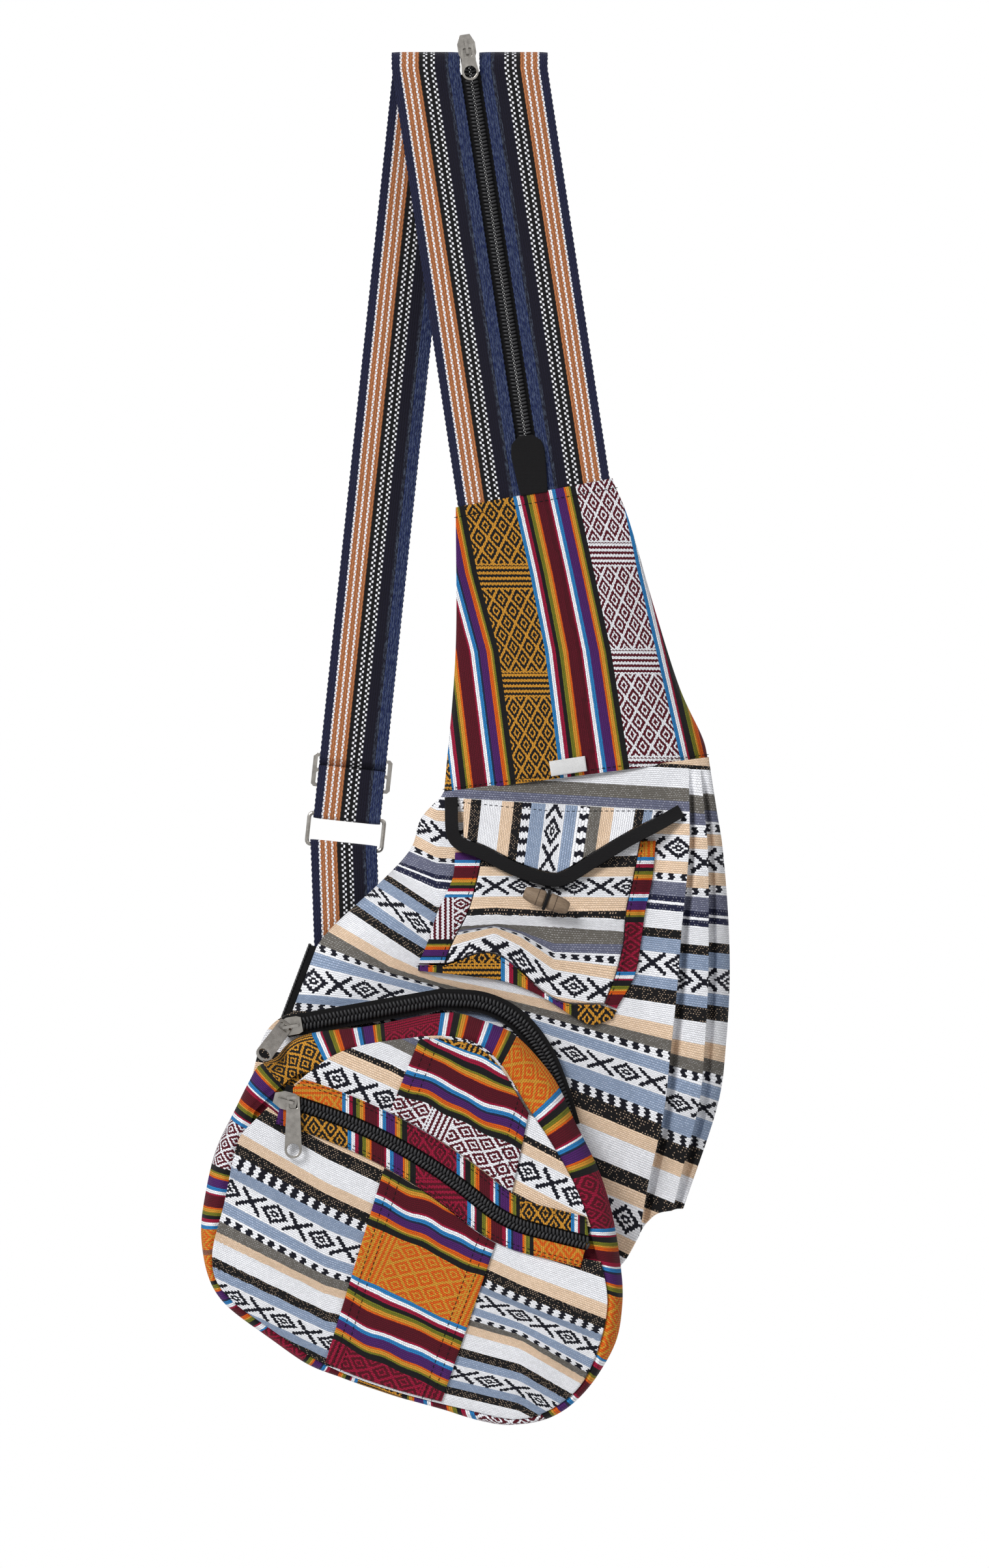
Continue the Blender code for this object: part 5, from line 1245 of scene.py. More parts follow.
POCKET_CLOTHS = {
    "left": cloth_map(lambda p, a, d: a * UNIT, lambda a, d: 14 - (d - 1410) * 0.43, (), (1.0,)),
    "right": cloth_map(lambda p, a, d: a * UNIT, lambda a, d: 28 + (d - 1317) * UNIT, (46,), (0, 3)),
    "bottom": cloth_map(lambda p, a, d: d * UNIT, lambda a, d: (a - 680) * 0.31, (), (2.0,)),
    "face": cloth_map(lambda p, a, d: p.x * 1000, TOGGLE_FIELD.at),
    "flap": cloth_map(lambda p, a, d: -p.z * 1000, lambda a, d: FLAP_FIELD.at(d, a))}


def toggle_pocket():
    """Closed patch pocket: face, two side strips and a bottom strip, with its seam lines."""
    count = 46
    lines = [body_line(line, count) for line in
             (TP_OUTER_LEFT, TP_INNER_LEFT, TP_INNER_RIGHT, TP_OUTER_RIGHT, TP_FACE_BOTTOM)]
    outer_left, inner_left, inner_right, outer_right, bottom = lines
    top = resample([inner_left[0], inner_right[0]], count)
    face, _ = filled_piece("toggle_pocket_cloth", coons(top, bottom, inner_left, inner_right),
                           toggle_pocket_y, seat, POCKET_CLOTHS["face"], MATERIALS["jacquard"])
    finish(face, "bag", "jacquard", "toggle_pocket_face")
    seams = []
    for side, a, b, column in (("left", outer_left, inset(inner_left, SEWN_GAP), -4),
                               ("right", inset(inner_right, -SEWN_GAP), outer_right, 3)):
        rows = [[mix(p, q, k / 12) for k in range(13)] for p, q in zip(a, b)]
        piece, front = filled_piece("toggle_pocket_strip_" + side, rows, toggle_pocket_y, seat,
                                    POCKET_CLOTHS[side], MATERIALS["many"])
        finish(piece, "bag", "multicolour", "toggle_pocket_side_" + side)
        seams.append([row[column] for row in front])
    upper = resample([outer_left[-1]] + bottom[:-1] + [outer_right[-1]], 60)
    upper = [p - Vector((0, 2 * SEWN_GAP)) for p in upper]
    rows = ruled(upper, body_line(TP_BOTTOM, 60), 12)
    piece, front = filled_piece("toggle_pocket_strip_bottom", rows, toggle_pocket_y, seat,
                                POCKET_CLOTHS["bottom"], MATERIALS["many"])
    finish(piece, "bag", "multicolour", "toggle_pocket_bottom")
    seams.append(front[3])
    return face, seams


def flap():
    """Pointed flap with its black binding and the loop for the toggle."""
    edge = body_line(FLAP_EDGE, 104)
    inner = inset(edge, -BINDING_WIDTH)
    top = [on_body(p) for p in FLAP_TOP]
    inner_edge = inset(edge, -BINDING_WIDTH - SEWN_GAP)
    corner = next(k for k in range(8, 80) if edge[k].x - edge[k - 1].x > edge[k - 1].y - edge[k].y)
    slope = (top[1].y - top[0].y) / (top[1].x - top[0].x)
    pairs = [(Vector((p.x, top[0].y + slope * (p.x - top[0].x))), p) for p in inner_edge[corner:-4]]
    pairs = [(a, b) for a, b in pairs if a.y - b.y > 0.0012]
    rows = ruled([a for a, b in pairs], [b for a, b in pairs], 30)
    cloth, front = sheet_piece("flap_cloth", rows, flap_y, CLOTH, POCKET_CLOTHS["flap"],
                               MATERIALS["jacquard"])
    finish(cloth, "bag", "jacquard", "flap")
    rows = [[mix(a, b, k / 8) for k in range(9)] for a, b in zip(edge, inner)]
    binding, _ = sheet_piece("flap_tape", rows, lambda x, z: flap_y(x, z) - (BINDING_THICK - CLOTH),
                             BINDING_THICK, no_cloth, MATERIALS["binding"])
    finish(binding, "bag", "binding", "flap_binding")
    tip = min(edge, key=lambda p: p.y)
    middle = Vector((tip.x, tip.y - SEWN_GAP))
    reach = TOGGLE_GROOVE + GAP + CORD_RADIUS
    length = middle.y - on_body(TOGGLE_AT).y - reach - CORD_RADIUS - GAP
    rows = [[middle + Vector((0.006 * (k / 6 - 1) * (1 - 0.25 * r / 6), -length * r / 6)) for k in range(13)]
            for r in range(7)]
    loop, _ = sheet_piece("flap_loop_tape", rows, flap_y, CLOTH, no_cloth, MATERIALS["binding"])
    finish(loop, "bag", "binding", "flap_loop")
    round(grid_area(front), 5)
    return [front[4]]


def grid_area(rows):
    """Area of a grid of points."""
    total = 0.0
    for upper, lower in zip(rows, rows[1:]):
        for a, b, c, d in zip(upper, upper[1:], lower, lower[1:]):
            total += (b - c).cross(d - a).length / 2
    return total


def turned(name, profile, count, frame_matrix, material):
    """Solid of revolution about local X from (x, radius) pairs, with its cloth places along and round."""
    points, coords = [], []
    for x, radius in profile:
        for k in range(count):
            angle = 2 * math.pi * k / count
            points.append(frame_matrix @ Vector((x, radius * math.cos(angle), radius * math.sin(angle))))
            coords.append((x * 1000, radius * 1000 * math.cos(angle), radius * 1000 * math.sin(angle)))
    return tube(name, points, count, coords, material, 40)


def toggle():
    """Turned wooden barrel on its cord."""
    place = on_body(TOGGLE_AT)
    centre = at_depth(place, toggle_pocket_y(place.x, place.y) - STANDOFF)
    half, width = 0.0131, 0.0012
    ends = ((1, 0.30), (1, 0.50), (0.985, 0.58), (0.94, 0.70), (0.75, 0.85), (0.55, 0.94), (0.35, 0.985))
    profile = [(-half * x, TOGGLE_RADIUS * r) for x, r in ends]
    profile += [(-width * 1.8, TOGGLE_RADIUS), (-width * 1.2, TOGGLE_RADIUS * 0.93), (-width, TOGGLE_GROOVE)]
    profile += [(-x, r) for x, r in reversed(profile)]
    matrix = Matrix.Rotation(math.radians(20), 4, "Y")
    matrix.translation = centre
    barrel = turned("toggle_barrel", profile, 40, matrix, MATERIALS["wood"])
    finish(barrel, "toggle", "wood", "toggle")
    reach = TOGGLE_GROOVE + GAP + CORD_RADIUS
    legs = STANDOFF - GAP - 0.0006
    path = [Vector((0, legs * (1 - k * 0.2), reach)) for k in range(4)]
    path += [Vector((0, -reach * math.sin(a), reach * math.cos(a)))
             for a in (math.pi * k / 20 for k in range(21))]
    path += [Vector((0, legs * (0.4 + k * 0.2), -reach)) for k in range(4)]
    across = Vector((1, 0, 0))
    turn = matrix.to_3x3()
    frames = [(matrix @ p, turn @ across, turn @ heading(path, i).cross(across)) for i, p in enumerate(path)]
    section = [(CORD_RADIUS * math.cos(math.pi * k / 6), CORD_RADIUS * math.sin(math.pi * k / 6))
               for k in range(12)]
    cord = sweep("toggle_cord_thread", frames, section, None, MATERIALS["binding"], 80)
    finish(cord, "toggle", "binding", "toggle_cord")


POLAR = 256


def polar(outline):
    """Radius of a pocket outline, in metres, at even angles about the pocket's centre."""
    line = curve_through([Vector((x * 0.001, z * 0.001)) for x, z in outline], 720, closed=True)
    marks = sorted((math.atan2(p.y, p.x) % (2 * math.pi), p.length) for p in line)
    angles = [a for a, _ in marks]
    radii = [r for _, r in marks]
    return list(np.interp([2 * math.pi * i / POLAR for i in range(POLAR)], angles, radii,
                          period=2 * math.pi))


ARCH_RADII, TUBE_RADII, FACE_RADII = polar(ARCH_OUTLINE), polar(TUBE_OUTLINE), polar(FACE_OUTLINE)
POCKET_MIDDLE = on_body(POCKET_CENTRE)


def pocket_point(point):
    """Point (x, z) of a point on the pocket's drawing."""
    return POCKET_MIDDLE + Vector((point[0] * 0.001, point[1] * 0.001))


def radius_at(radii, angle):
    """Radius at any angle."""
    place = (angle % (2 * math.pi)) / (2 * math.pi) * POLAR
    k = int(place)
    return mix(radii[k % POLAR], radii[(k + 1) % POLAR], place - k)


def pocket_xz(i, radius):
    """Point (x, z) on ray i of the pocket."""
    return POCKET_MIDDLE + toward(2 * math.pi * i / POLAR) * radius


def arch_share(i):
    """1 on the rays that cross the arch zip, 0 well below it."""
    from_top = abs((360.0 * i / POLAR - 75 + 180) % 360 - 180)
    return 1 - ease((from_top - 52) / 18)


def ringed(name, rings, ends, coords, material):
    """Closed solid from rings of points, closed by a middle point at each end."""
    points = [p for loop in rings for p in loop]
    flat = [c for loop in coords for c in loop]
    faces = quads(len(rings), POLAR)
    points += [at_depth(POCKET_MIDDLE, y) for y in ends]
    flat += [coords[0][0], coords[-1][0]]
    for k in range(POLAR):
        m = (k + 1) % POLAR
        faces.append((len(points) - 2, m, k))
        faces.append((len(points) - 1, (len(rings) - 1) * POLAR + k, (len(rings) - 1) * POLAR + m))
    return solid(name, points, faces, flat, material, 60)


def pocket_base():
    """Base of the front pocket, from the body's cloth to the arch zip."""
    rings, coords = [], []
    reaches = [(ARCH_RADII[i] + 0.0062 * arch_share(i) - 0.003 * (1 - arch_share(i))) for i in range(POLAR)]
    for share, front in [(k / 12, False) for k in range(2, 13)] + [(1.0, True), (0.992, True), (0.5, True)]:
        rings.append([])
        coords.append([])
        for i in range(POLAR):
            p = pocket_xz(i, reaches[i] * share)
            within = pocket_xz(i, reaches[i] * share - 0.012 * share)
            y = body_y(within.x, within.y) - mix(0.0022, 0.0008, share ** 4)
            y = max(y, POCKET_BACK + 0.0008)
            if front:
                y = POCKET_BACK + (0.0005 if share == 1.0 else 0.0)
            point = at_depth(p, y)
            across, down = seen(point)
            rings[-1].append(point)
            coords[-1].append((p.x * 1000, BODY_FIELD.at(across, down) + (1 - share) * 8, 0.0))
    first = body_y(POCKET_MIDDLE.x, POCKET_MIDDLE.y) - 0.0022
    return ringed("pocket_base_cloth", rings, (first, POCKET_BACK), coords, MATERIALS["jacquard"])


BAND_ANGLES = (188.0, 157.0, 126.6, 90.7, 53.0, 6.0, -27.0, -64.0, -102.0, -137.0, -172.0)
BAND_KINDS = (0, 1, 2, 3, 0, 3, 0, 1, 2, 3, 0)


def tube_cloth(angle):
    """Place across the stripes and kind of band at an angle round the pocket, in degrees."""
    while angle > 188.0:
        angle -= 360.0
    while angle < -172.0:
        angle += 360.0
    k = max(j for j in range(len(BAND_ANGLES) - 1) if BAND_ANGLES[j] >= angle)
    share = (BAND_ANGLES[k] - angle) / (BAND_ANGLES[k] - BAND_ANGLES[k + 1])
    return (k + share) * REPEAT + BAND_HEIGHT / 2, BAND_KINDS[k + 1 if share > 0.5 else k]


def gusset_steps(i):
    """Section of the gusset on one ray, as (radius, y) pairs from the base to the inside of the face."""
    seat_high = POCKET_BACK - GAP - 0.0018 - 0.0008 - GAP
    inner_y = POCKET_FACE + CLOTH + GAP
    recess_y = inner_y + 0.0024
    arch = arch_share(i)
    back_y = mix(POCKET_BACK - GAP, seat_high, arch)
    foot = min(ARCH_RADII[i], TUBE_RADII[i]) - mix(0.004, 0.009, arch)
    tube = TUBE_RADII[i]
    start = pocket_point(FACE_ZIP_START) - POCKET_MIDDLE
    away = 2 * math.pi * i / POLAR - math.atan2(start.y, start.x)
    away = abs((away + math.pi) % (2 * math.pi) - math.pi)
    face = FACE_RADII[i] + 0.0050 * (1 - ease((away - 0.13) / 0.12))
    reach = tube - face
    steps = ((foot * 0.5, back_y), (foot * 0.85, back_y), (foot, back_y),
             (mix(foot, tube, 0.55), mix(back_y, TUBE_FULL, 0.30)),
             (mix(foot, tube, 0.92), mix(back_y, TUBE_FULL, 0.70)),
             (tube, TUBE_FULL), (face + reach * 0.72, mix(TUBE_FULL, inner_y, 0.75)),
             (face + reach * 0.30, inner_y - 0.0008), (face, inner_y), (face - 0.0018, inner_y),
             (face - 0.0024, recess_y), (face * 0.5, recess_y))
    wall = ARCH_RADII[i] - 0.0076
    bank = ((wall * 0.5, back_y), (wall * 0.85, back_y), (wall, back_y),
            (wall, mix(back_y, TUBE_FULL, 0.35)), (wall - 0.0004, mix(back_y, TUBE_FULL, 0.62)),
            (wall - 0.0027, TUBE_FULL), (mix(face, wall, 0.32), mix(TUBE_FULL, inner_y, 0.66)),
            (mix(face, wall, 0.12), inner_y + 0.0005)) + steps[8:]
    angle = 360.0 * i / POLAR
    share = ease((angle - 64) / 16) * (1 - ease((angle - 128) / 8))
    return [(mix(a, c, share), mix(b, d, share)) for (a, b), (c, d) in zip(steps, bank)]


def gusset():
    """Gusset of the front pocket, puffed out like a tube, with shallow gathers across it."""
    fine_count = 34
    rings = [[] for _ in range(fine_count + 6)]
    coords = [[] for _ in range(fine_count + 6)]
    for i in range(POLAR):
        steps = [Vector(step) for step in gusset_steps(i)]
        arc = curve_through(steps[2:9], fine_count)
        line = steps[:2] + arc + steps[9:]
        v, kind = tube_cloth(360.0 * i / POLAR)
        reach = 0.0
        calm = 1 - ease((abs(360.0 * i / POLAR - 96) - 30) / 8)
        for k, p in enumerate(line):
            reach += (p - line[k - 1]).length if k else 0.0
            puff = 0.0
            if 6 < k < fine_count - 3:
                hump = math.sin(math.pi * (k - 6) / (fine_count - 9))
                puff = 0.0010 * hump * noise.noise(Vector((i * 0.11, k * 0.05, 1.0))) * (1 - 0.7 * calm)
            q = pocket_xz(i, p.x + puff)
            rings[k].append(at_depth(q, p.y - puff * 0.5))
            coords[k].append((reach * 1000, v, kind))
    seat_low = POCKET_BACK - GAP
    return ringed("pocket_tube_cloth", rings, (seat_low, rings[-1][0].y), coords, MATERIALS["many"])


def face_zip_centre():
    """Centre of the long arc of the face zip."""
    return pocket_point(FACE_ZIP_START) + Vector((math.sin(FACE_HEADING), -math.cos(FACE_HEADING))) * FACE_ARC


def face_zip_line(count=50):
    """Line of the zip in the pocket's face."""
    centre = face_zip_centre()
    line = [centre + toward(FACE_HEADING + math.pi / 2 - FACE_SWEEP * k / count) * FACE_ARC
            for k in range(count + 1)]
    lean = FACE_HEADING - FACE_SWEEP
    back = line[-1] + Vector((-math.sin(lean), math.cos(lean))) * FACE_BEND
    turn = FACE_SWEEP * 1.04
    line += [back + toward(lean - math.pi / 2 + turn * k / 16) * FACE_BEND for k in range(1, 17)]
    return line + [line[-1] + toward(lean + turn) * 0.010 * k for k in (1, 2, 3)]


FACE_LINE = face_zip_line()


def face_y(x, z):
    """Front surface of the pocket's face."""
    p = Vector((x, z))
    near = min((p - q).length for q in FACE_LINE)
    offset = p - POCKET_MIDDLE
    edge = radius_at(FACE_RADII, math.atan2(offset.y, offset.x)) - offset.length
    return POCKET_FACE - 0.0035 * ease((near - 0.0097) / 0.070) * ease(edge / 0.030)


def outline_between(start, end, count, clockwise):
    """Points of the face outline from one angle to another."""
    span = (start - end) % (2 * math.pi) if clockwise else (end - start) % (2 * math.pi)
    sign = -1 if clockwise else 1
    result = []
    for k in range(count + 1):
        angle = start + sign * span * k / count
        radius = radius_at(FACE_RADII, angle) - SEWN_GAP
        result.append(POCKET_MIDDLE + toward(angle) * radius)
    return result


def trimmed(line):
    """The part of a line that lies inside the face outline."""
    kept = []
    for p in resample(line, 240):
        offset = p - POCKET_MIDDLE
        if offset.length < radius_at(FACE_RADII, math.atan2(offset.y, offset.x)) - 0.001:
            kept.append(p)
    return kept


def face_cloth(field):
    """Cloth place of a face panel."""
    return cloth_map(lambda p, a, d: p.x * 906 - p.z * 420, field.at)


def welt_cloth(start, scale, kinds):
    """Cloth place of a welt."""
    return cloth_map(lambda p, a, d: d * UNIT, lambda a, d: (a - start) * scale, (46, 110), kinds)


def strip_cloth(start, split, kinds):
    """Cloth place of a centre strip: its stripes lie across it on a slant and waver a little."""
    def v_at(across, down):
        waver = noise.noise(Vector((across / 45, down / 90, 2.0)))
        return (0.906 * down - 0.42 * across - start) * 0.348 + 2.2 * waver
    return cloth_map(lambda p, a, d: (0.906 * a + 0.42 * d) * UNIT, v_at, split, kinds)


def face_panels():
    """Upper and lower panel of the pocket's face and the welts of its zip."""
    seams = []
    fields = {"upper": FACE_UPPER_FIELD, "lower": FACE_LOWER_FIELD}
    welts = {"upper": welt_cloth(450, 0.366, (0, 3, 2)), "lower": welt_cloth(455, 0.35, (2, 3, 0))}
    for name, sign, clockwise in (("upper", -1, True), ("lower", 1, False)):
        edge = resample(trimmed(inset(FACE_LINE, sign * (FACE_TAPE_HALF + GAP))), 120)
        angles = [math.atan2(p.y, p.x) for p in (edge[0] - POCKET_MIDDLE, edge[-1] - POCKET_MIDDLE)]
        border = outline_between(angles[0], angles[1], 120, clockwise)
        piece, _ = sheet_piece("face_cloth_" + name, ruled(edge, border, 40), face_y, CLOTH,
                               face_cloth(fields[name]), MATERIALS["jacquard"])
        finish(piece, "bag", "jacquard", "face_" + name)
        welt_in = CHAIN_HALF + SEWN_GAP
        inner = resample(trimmed(inset(FACE_LINE, sign * welt_in)), 110)
        outer = resample(trimmed(inset(FACE_LINE, sign * (welt_in + WELT_WIDTH))), 110)
        rows = [[mix(a, b, k / 10) for k in range(11)] for a, b in zip(inner, outer)]
        piece, front = sheet_piece("welt_cloth_" + name, rows, lambda x, z: POCKET_FACE - SEWN_GAP - CLOTH,
                                   CLOTH, welts[name], MATERIALS["many"])
        finish(piece, "bag", "multicolour", "welt_" + name)
        seams += [[row[k] for row in front] for k in (-3, -5)]
    return seams


def at_x(line, x):
    """Point of a line that runs to the right, at one x."""
    for a, b in zip(line, line[1:]):
        if b.x >= x:
            return mix(a, b, (x - a.x) / (b.x - a.x))
    return line[-1]


def centre_strip(name, node, sign, drawing, cloth_at):
    """Coloured strip down the middle of one face panel."""
    (low, high), ends = drawing
    count = 28
    edge = inset(FACE_LINE, sign * (CHAIN_HALF + WELT_WIDTH + 2 * SEWN_GAP))
    first, last = POCKET_MIDDLE.x + low * 0.001, POCKET_MIDDLE.x + high * 0.001
    inner = [at_x(edge, mix(first, last, k / count)) for k in range(count + 1)]
    angles = [math.atan2(p.y, p.x) for p in (pocket_point(end) - POCKET_MIDDLE for end in ends)]
    border = [mix(p, POCKET_MIDDLE, 0.015) for p in outline_between(angles[0], angles[1], count, sign < 0)]
    piece, front = sheet_piece(name, ruled(inner, border, 40), lambda x, z: face_y(x, z) - SEWN_GAP - CLOTH,
                               CLOTH, cloth_at, MATERIALS["many"])
    finish(piece, "bag", "multicolour", node)
    return [[row[k] for row in front] for k in (3, 5, -4, -6)]


SEAMS = []
CHAINS = []


def tape_section(side, tape_half, ridge=0.0):
    """Section of one zip half: tape with its seam fold and the flat foot of the coil."""
    start, fold = 0.0005, 0.0053
    section = [(start, 0)]
    if ridge:
        section += [(fold, 0), (fold, -ridge), (tape_half, -ridge)]
    else:
        section += [(tape_half, 0)]
    section += [(tape_half, 0.0008), (CHAIN_HALF, 0.0008), (CHAIN_HALF - 0.0002, 0.0013), (start, 0.0013)]
    return [(u * side, n) for u, n in section]


def flat_frames(line, y):
    """Frames along a line of (x, z) points that lies in an upright plane."""
    frames = []
    for i, p in enumerate(line):
        along = heading(line, i)
        frames.append((at_depth(p, y), Vector((-along.y, 0, along.x)), TO_FRONT))
    return frames


def zip_tape(name, frames, sections, node):
    """One half of a zip, without its coil."""
    finish(sweep(name, frames, sections, None, MATERIALS["tape"], 40), "bag", "zip", node)


def chain(frames):
    """Remember the line of a zip, for its coil."""
    CHAINS.append(([point for point, _, _ in frames], [out for _, _, out in frames]))


def zip_halves(prefix, halves, frames, tape_half, ridge=0.0):
    """Both halves of a zip, and its line."""
    for sign, half in zip((1, -1), halves):
        zip_tape(prefix + "_tape_" + half, frames, tape_section(sign, tape_half, ridge),
                 prefix + "_zip_" + half)
    chain(frames)


def seam(points):
    """Remember a line of stitches."""
    SEAMS.append(([p + TO_FRONT * 0.0001 for p in points], [TO_FRONT] * len(points)))


def strap_zip():
    """Zip between the two bands on the front of the strap, and the cloth tab over its end."""
    tape_back = -HANG_RADIUS + GAP + 0.0008
    tab = 0.033
    wide_half = 0.014
    wide_start = wide_half * math.tan(STRAP_LEAN) + 2 * GAP
    frames = []
    for length in (-0.0085, wide_start, wide_start + GAP, STRAP_LENGTH - tab * 0.6):
        p = CREST + DOWN * length
        frames.append((Vector((p.x, tape_back, p.z)), ACROSS, TO_FRONT))
    for side, sign in SIDES.items():
        narrow, wide = tape_section(sign, CHAIN_HALF + 2 * GAP), tape_section(sign, wide_half)
        zip_tape("strap_tape_" + side, frames, [narrow, narrow, wide, wide], "strap_zip_" + side)
    chain(frames)
    level = min(-HANG_RADIUS - BAND_THICK - GAP, tape_back - 0.003 - GAP) - CLOTH
    rows = []
    for r in range(25):
        half = np.interp(r / 24, (0.0, 0.12, 0.3, 0.75, 1.0), (0.004, 0.0085, 0.0095, 0.0085, 0.0075))
        middle = CREST + DOWN * (STRAP_LENGTH - tab * (1 - r / 24) - GAP)
        rows.append([Vector((middle.x, middle.z)) + Vector((ACROSS.x, ACROSS.z)) * half * k / 8
                     for k in range(-8, 9)])
    piece, _ = sheet_piece("zip_end_tab", rows, lambda x, z: level, CLOTH, no_cloth, MATERIALS["binding"])
    finish(piece, "bag", "binding", "strap_zip_end")


def side_zip():
    """Zip of the main compartment along the left edge, seen from the side."""
    top, foot = (on_body(p) for p in LEFT_ZIP_EDGE)
    along = (foot - top).normalized()
    out = Vector((along.y, 0, -along.x))
    across = Vector((0, 1, 0))
    frames = []
    for share in (0.01, 0.5, 0.99):
        p = mix(top, foot, share)
        frames.append((at_depth(p, 0.0022) + out * (GAP + TAPE_LIFT), across, out))
    zip_halves("side", ("back", "front"), frames, EDGE_TAPE_HALF, TAPE_LIFT)


def arch_zip():
    """Zip round the top of the front pocket."""
    run = [pocket_point(p) for p in ARCH_RUN]
    curve = curve_through([run[1]] + [pocket_point(p) for p in ARCH_BEND], 70)
    first = run[0] - (run[1] - run[0]).normalized() * 0.002
    frames = flat_frames([first, mix(first, run[1], 0.5)] + curve, POCKET_BACK - GAP - TAPE_LIFT)
    zip_halves("arch", ("outer", "inner"), frames, EDGE_TAPE_HALF, TAPE_LIFT)


def face_zip():
    """Curved zip in the pocket's face."""
    zip_halves("face", ("upper", "lower"), flat_frames(FACE_LINE, POCKET_FACE + CLOTH), FACE_TAPE_HALF)


def tag():
    """Small folded tag caught in the seam between yoke and body, blank."""
    low, high = (on_body(p) for p in TAG_AT)
    along = high - low
    up = Vector((-along.y, along.x)).normalized()
    start = low + up * GAP
    rows = [[start + along * k / 16 + up * TAG_HEIGHT * r / 14 for k in range(17)] for r in range(15)]
    level = yoke_back_y(1.0) - YOKE_LIP - 2 * GAP - YOKE_SWELL - CLOTH - SEWN_GAP - CLOTH

    def tag_y(x, z):
        """Front surface, bulging a little along the fold."""
        share = ((Vector((x, z)) - start).dot(up)) / TAG_HEIGHT
        return level - 0.0007 * math.sin(math.pi * min(max(share, 0.0), 1.0)) - 0.0004 * share
    piece, _ = sheet_piece("folded_tag", rows, tag_y, CLOTH, no_cloth, MATERIALS["tag"])
    finish(piece, "bag", "tag", "tag")


def lines_object(name, lines):
    """Object of plain lines, each point with the direction away from the cloth."""
    points, edges, outs = [], [], []
    for line, line_outs in lines:
        start = len(points)
        points += [tuple(p) for p in line]
        outs += [value for out in line_outs for value in out]
        edges += [(start + k, start + k + 1) for k in range(len(line) - 1)]
    mesh = bpy.data.meshes.new(name)
    mesh.from_pydata(points, edges, [])
    mesh.attributes.new("out", "FLOAT_VECTOR", "POINT").data.foreach_set("vector", outs)
    item = bpy.data.objects.new(name, mesh)
    bpy.context.scene.collection.objects.link(item)
    return item


class Tree(Nodes):
    """A Geometry Nodes tree with named inputs."""

    def __init__(self, name, inputs):
        """Tree with a geometry, the given numbers and a material."""
        super().__init__(bpy.data.node_groups.new(name, "GeometryNodeTree"))
        face = self.tree.interface
        face.new_socket("Geometry", in_out="INPUT", socket_type="NodeSocketGeometry")
        for label, value in inputs.items():
            face.new_socket(label, in_out="INPUT", socket_type="NodeSocketFloat").default_value = value
        face.new_socket("Material", in_out="INPUT", socket_type="NodeSocketMaterial")
        face.new_socket("Geometry", in_out="OUTPUT", socket_type="NodeSocketGeometry")
        self.start = self.tree.nodes.new("NodeGroupInput")
        self.end = self.tree.nodes.new("NodeGroupOutput")

    def value(self, label):
        """One of the tree's inputs."""
        return Term(self, self.start.outputs[label])

    def ball(self, segments, rings, size, **place):
        """A low ball stretched to a size."""
        ball = self.node("GeometryNodeMeshUVSphere", None,
                         {"Segments": segments, "Rings": rings, "Radius": 0.5})
        return self.node("GeometryNodeTransform", None, {"Geometry": ball, **place, "Scale": size})

    def along_lines(self, spacing, instance):
        """Set a shape along the lines, turned with them, as real mesh."""
        curve = self.node("GeometryNodeMeshToCurve", None, {0: self.value("Geometry")})
        points = self.node("GeometryNodeResampleCurve", {"mode": "LENGTH"},
                           {"Curve": curve, "Length": spacing})
        out = self.node("GeometryNodeInputNamedAttribute", {"data_type": "FLOAT_VECTOR"}, {"Name": "out"})
        tangent = self.node("GeometryNodeInputTangent")
        turn = self.node("FunctionNodeAxesToRotation", {"primary_axis": "Z", "secondary_axis": "X"},
                         {0: out, 1: tangent})
        placed = self.node("GeometryNodeInstanceOnPoints", None,
                           {"Points": points, "Instance": instance, "Rotation": turn})
        real = self.node("GeometryNodeRealizeInstances", None, {0: placed})
        smooth = self.node("GeometryNodeSetShadeSmooth", None, {0: real})
        coloured = self.node("GeometryNodeSetMaterial", None,
                             {"Geometry": smooth, "Material": self.value("Material")})
        self.tree.links.new(coloured.socket, self.end.inputs[0])
        return self.tree


def coil_tree():
    """Two rows of slanted coil turns along each line."""
    tree = Tree("zip_coil", {"Pitch": 0.0021, "Turn length": 0.0046, "Turn width": 0.0018,
                             "Turn height": 0.0021, "Offset": 0.00165, "Lift": 0.0019, "Slant": 0.22})
    value = tree.value
    size = tree.join(value("Turn width"), value("Turn length"), value("Turn height"))
    turns = []
    for sign, start in ((1.0, 0.0), (-1.0, value("Pitch") * 0.5)):
        spot = tree.join(start, value("Offset") * sign, value("Lift"))
        lean = tree.join(0.0, 0.0, value("Slant") * sign)
        turns.append(tree.ball(8, 5, size, Translation=spot, Rotation=lean))
    both = tree.node("GeometryNodeJoinGeometry", None, {0: turns})
    return tree.along_lines(value("Pitch"), both)


def stitch_tree():
    """Short stitches along each line."""
    tree = Tree("seam_stitch", {"Spacing": 0.003, "Length": 0.0022, "Width": 0.0005, "Height": 0.0005})
    value = tree.value
    size = tree.join(value("Length"), value("Width"), value("Height"))
    return tree.along_lines(value("Spacing"), tree.ball(6, 4, size))


def grown(name, lines, tree, values, material):
    """Run a tree on lines and keep its result as a plain mesh."""
    source = lines_object(name + "_lines", lines)
    modifier = source.modifiers.new("along", "NODES")
    modifier.node_group = tree
    values = {**values, "Material": material}
    for item in tree.interface.items_tree:
        if item.in_out == "INPUT" and item.name in values:
            modifier[item.identifier] = values[item.name]
    bpy.context.view_layer.update()
    ready = source.evaluated_get(bpy.context.evaluated_depsgraph_get())
    mesh = bpy.data.meshes.new_from_object(ready)
    mesh.name = name
    bpy.data.objects.remove(source)
    if not mesh.polygons:
        raise RuntimeError(name + " came out empty")
    return link(name, mesh, material)


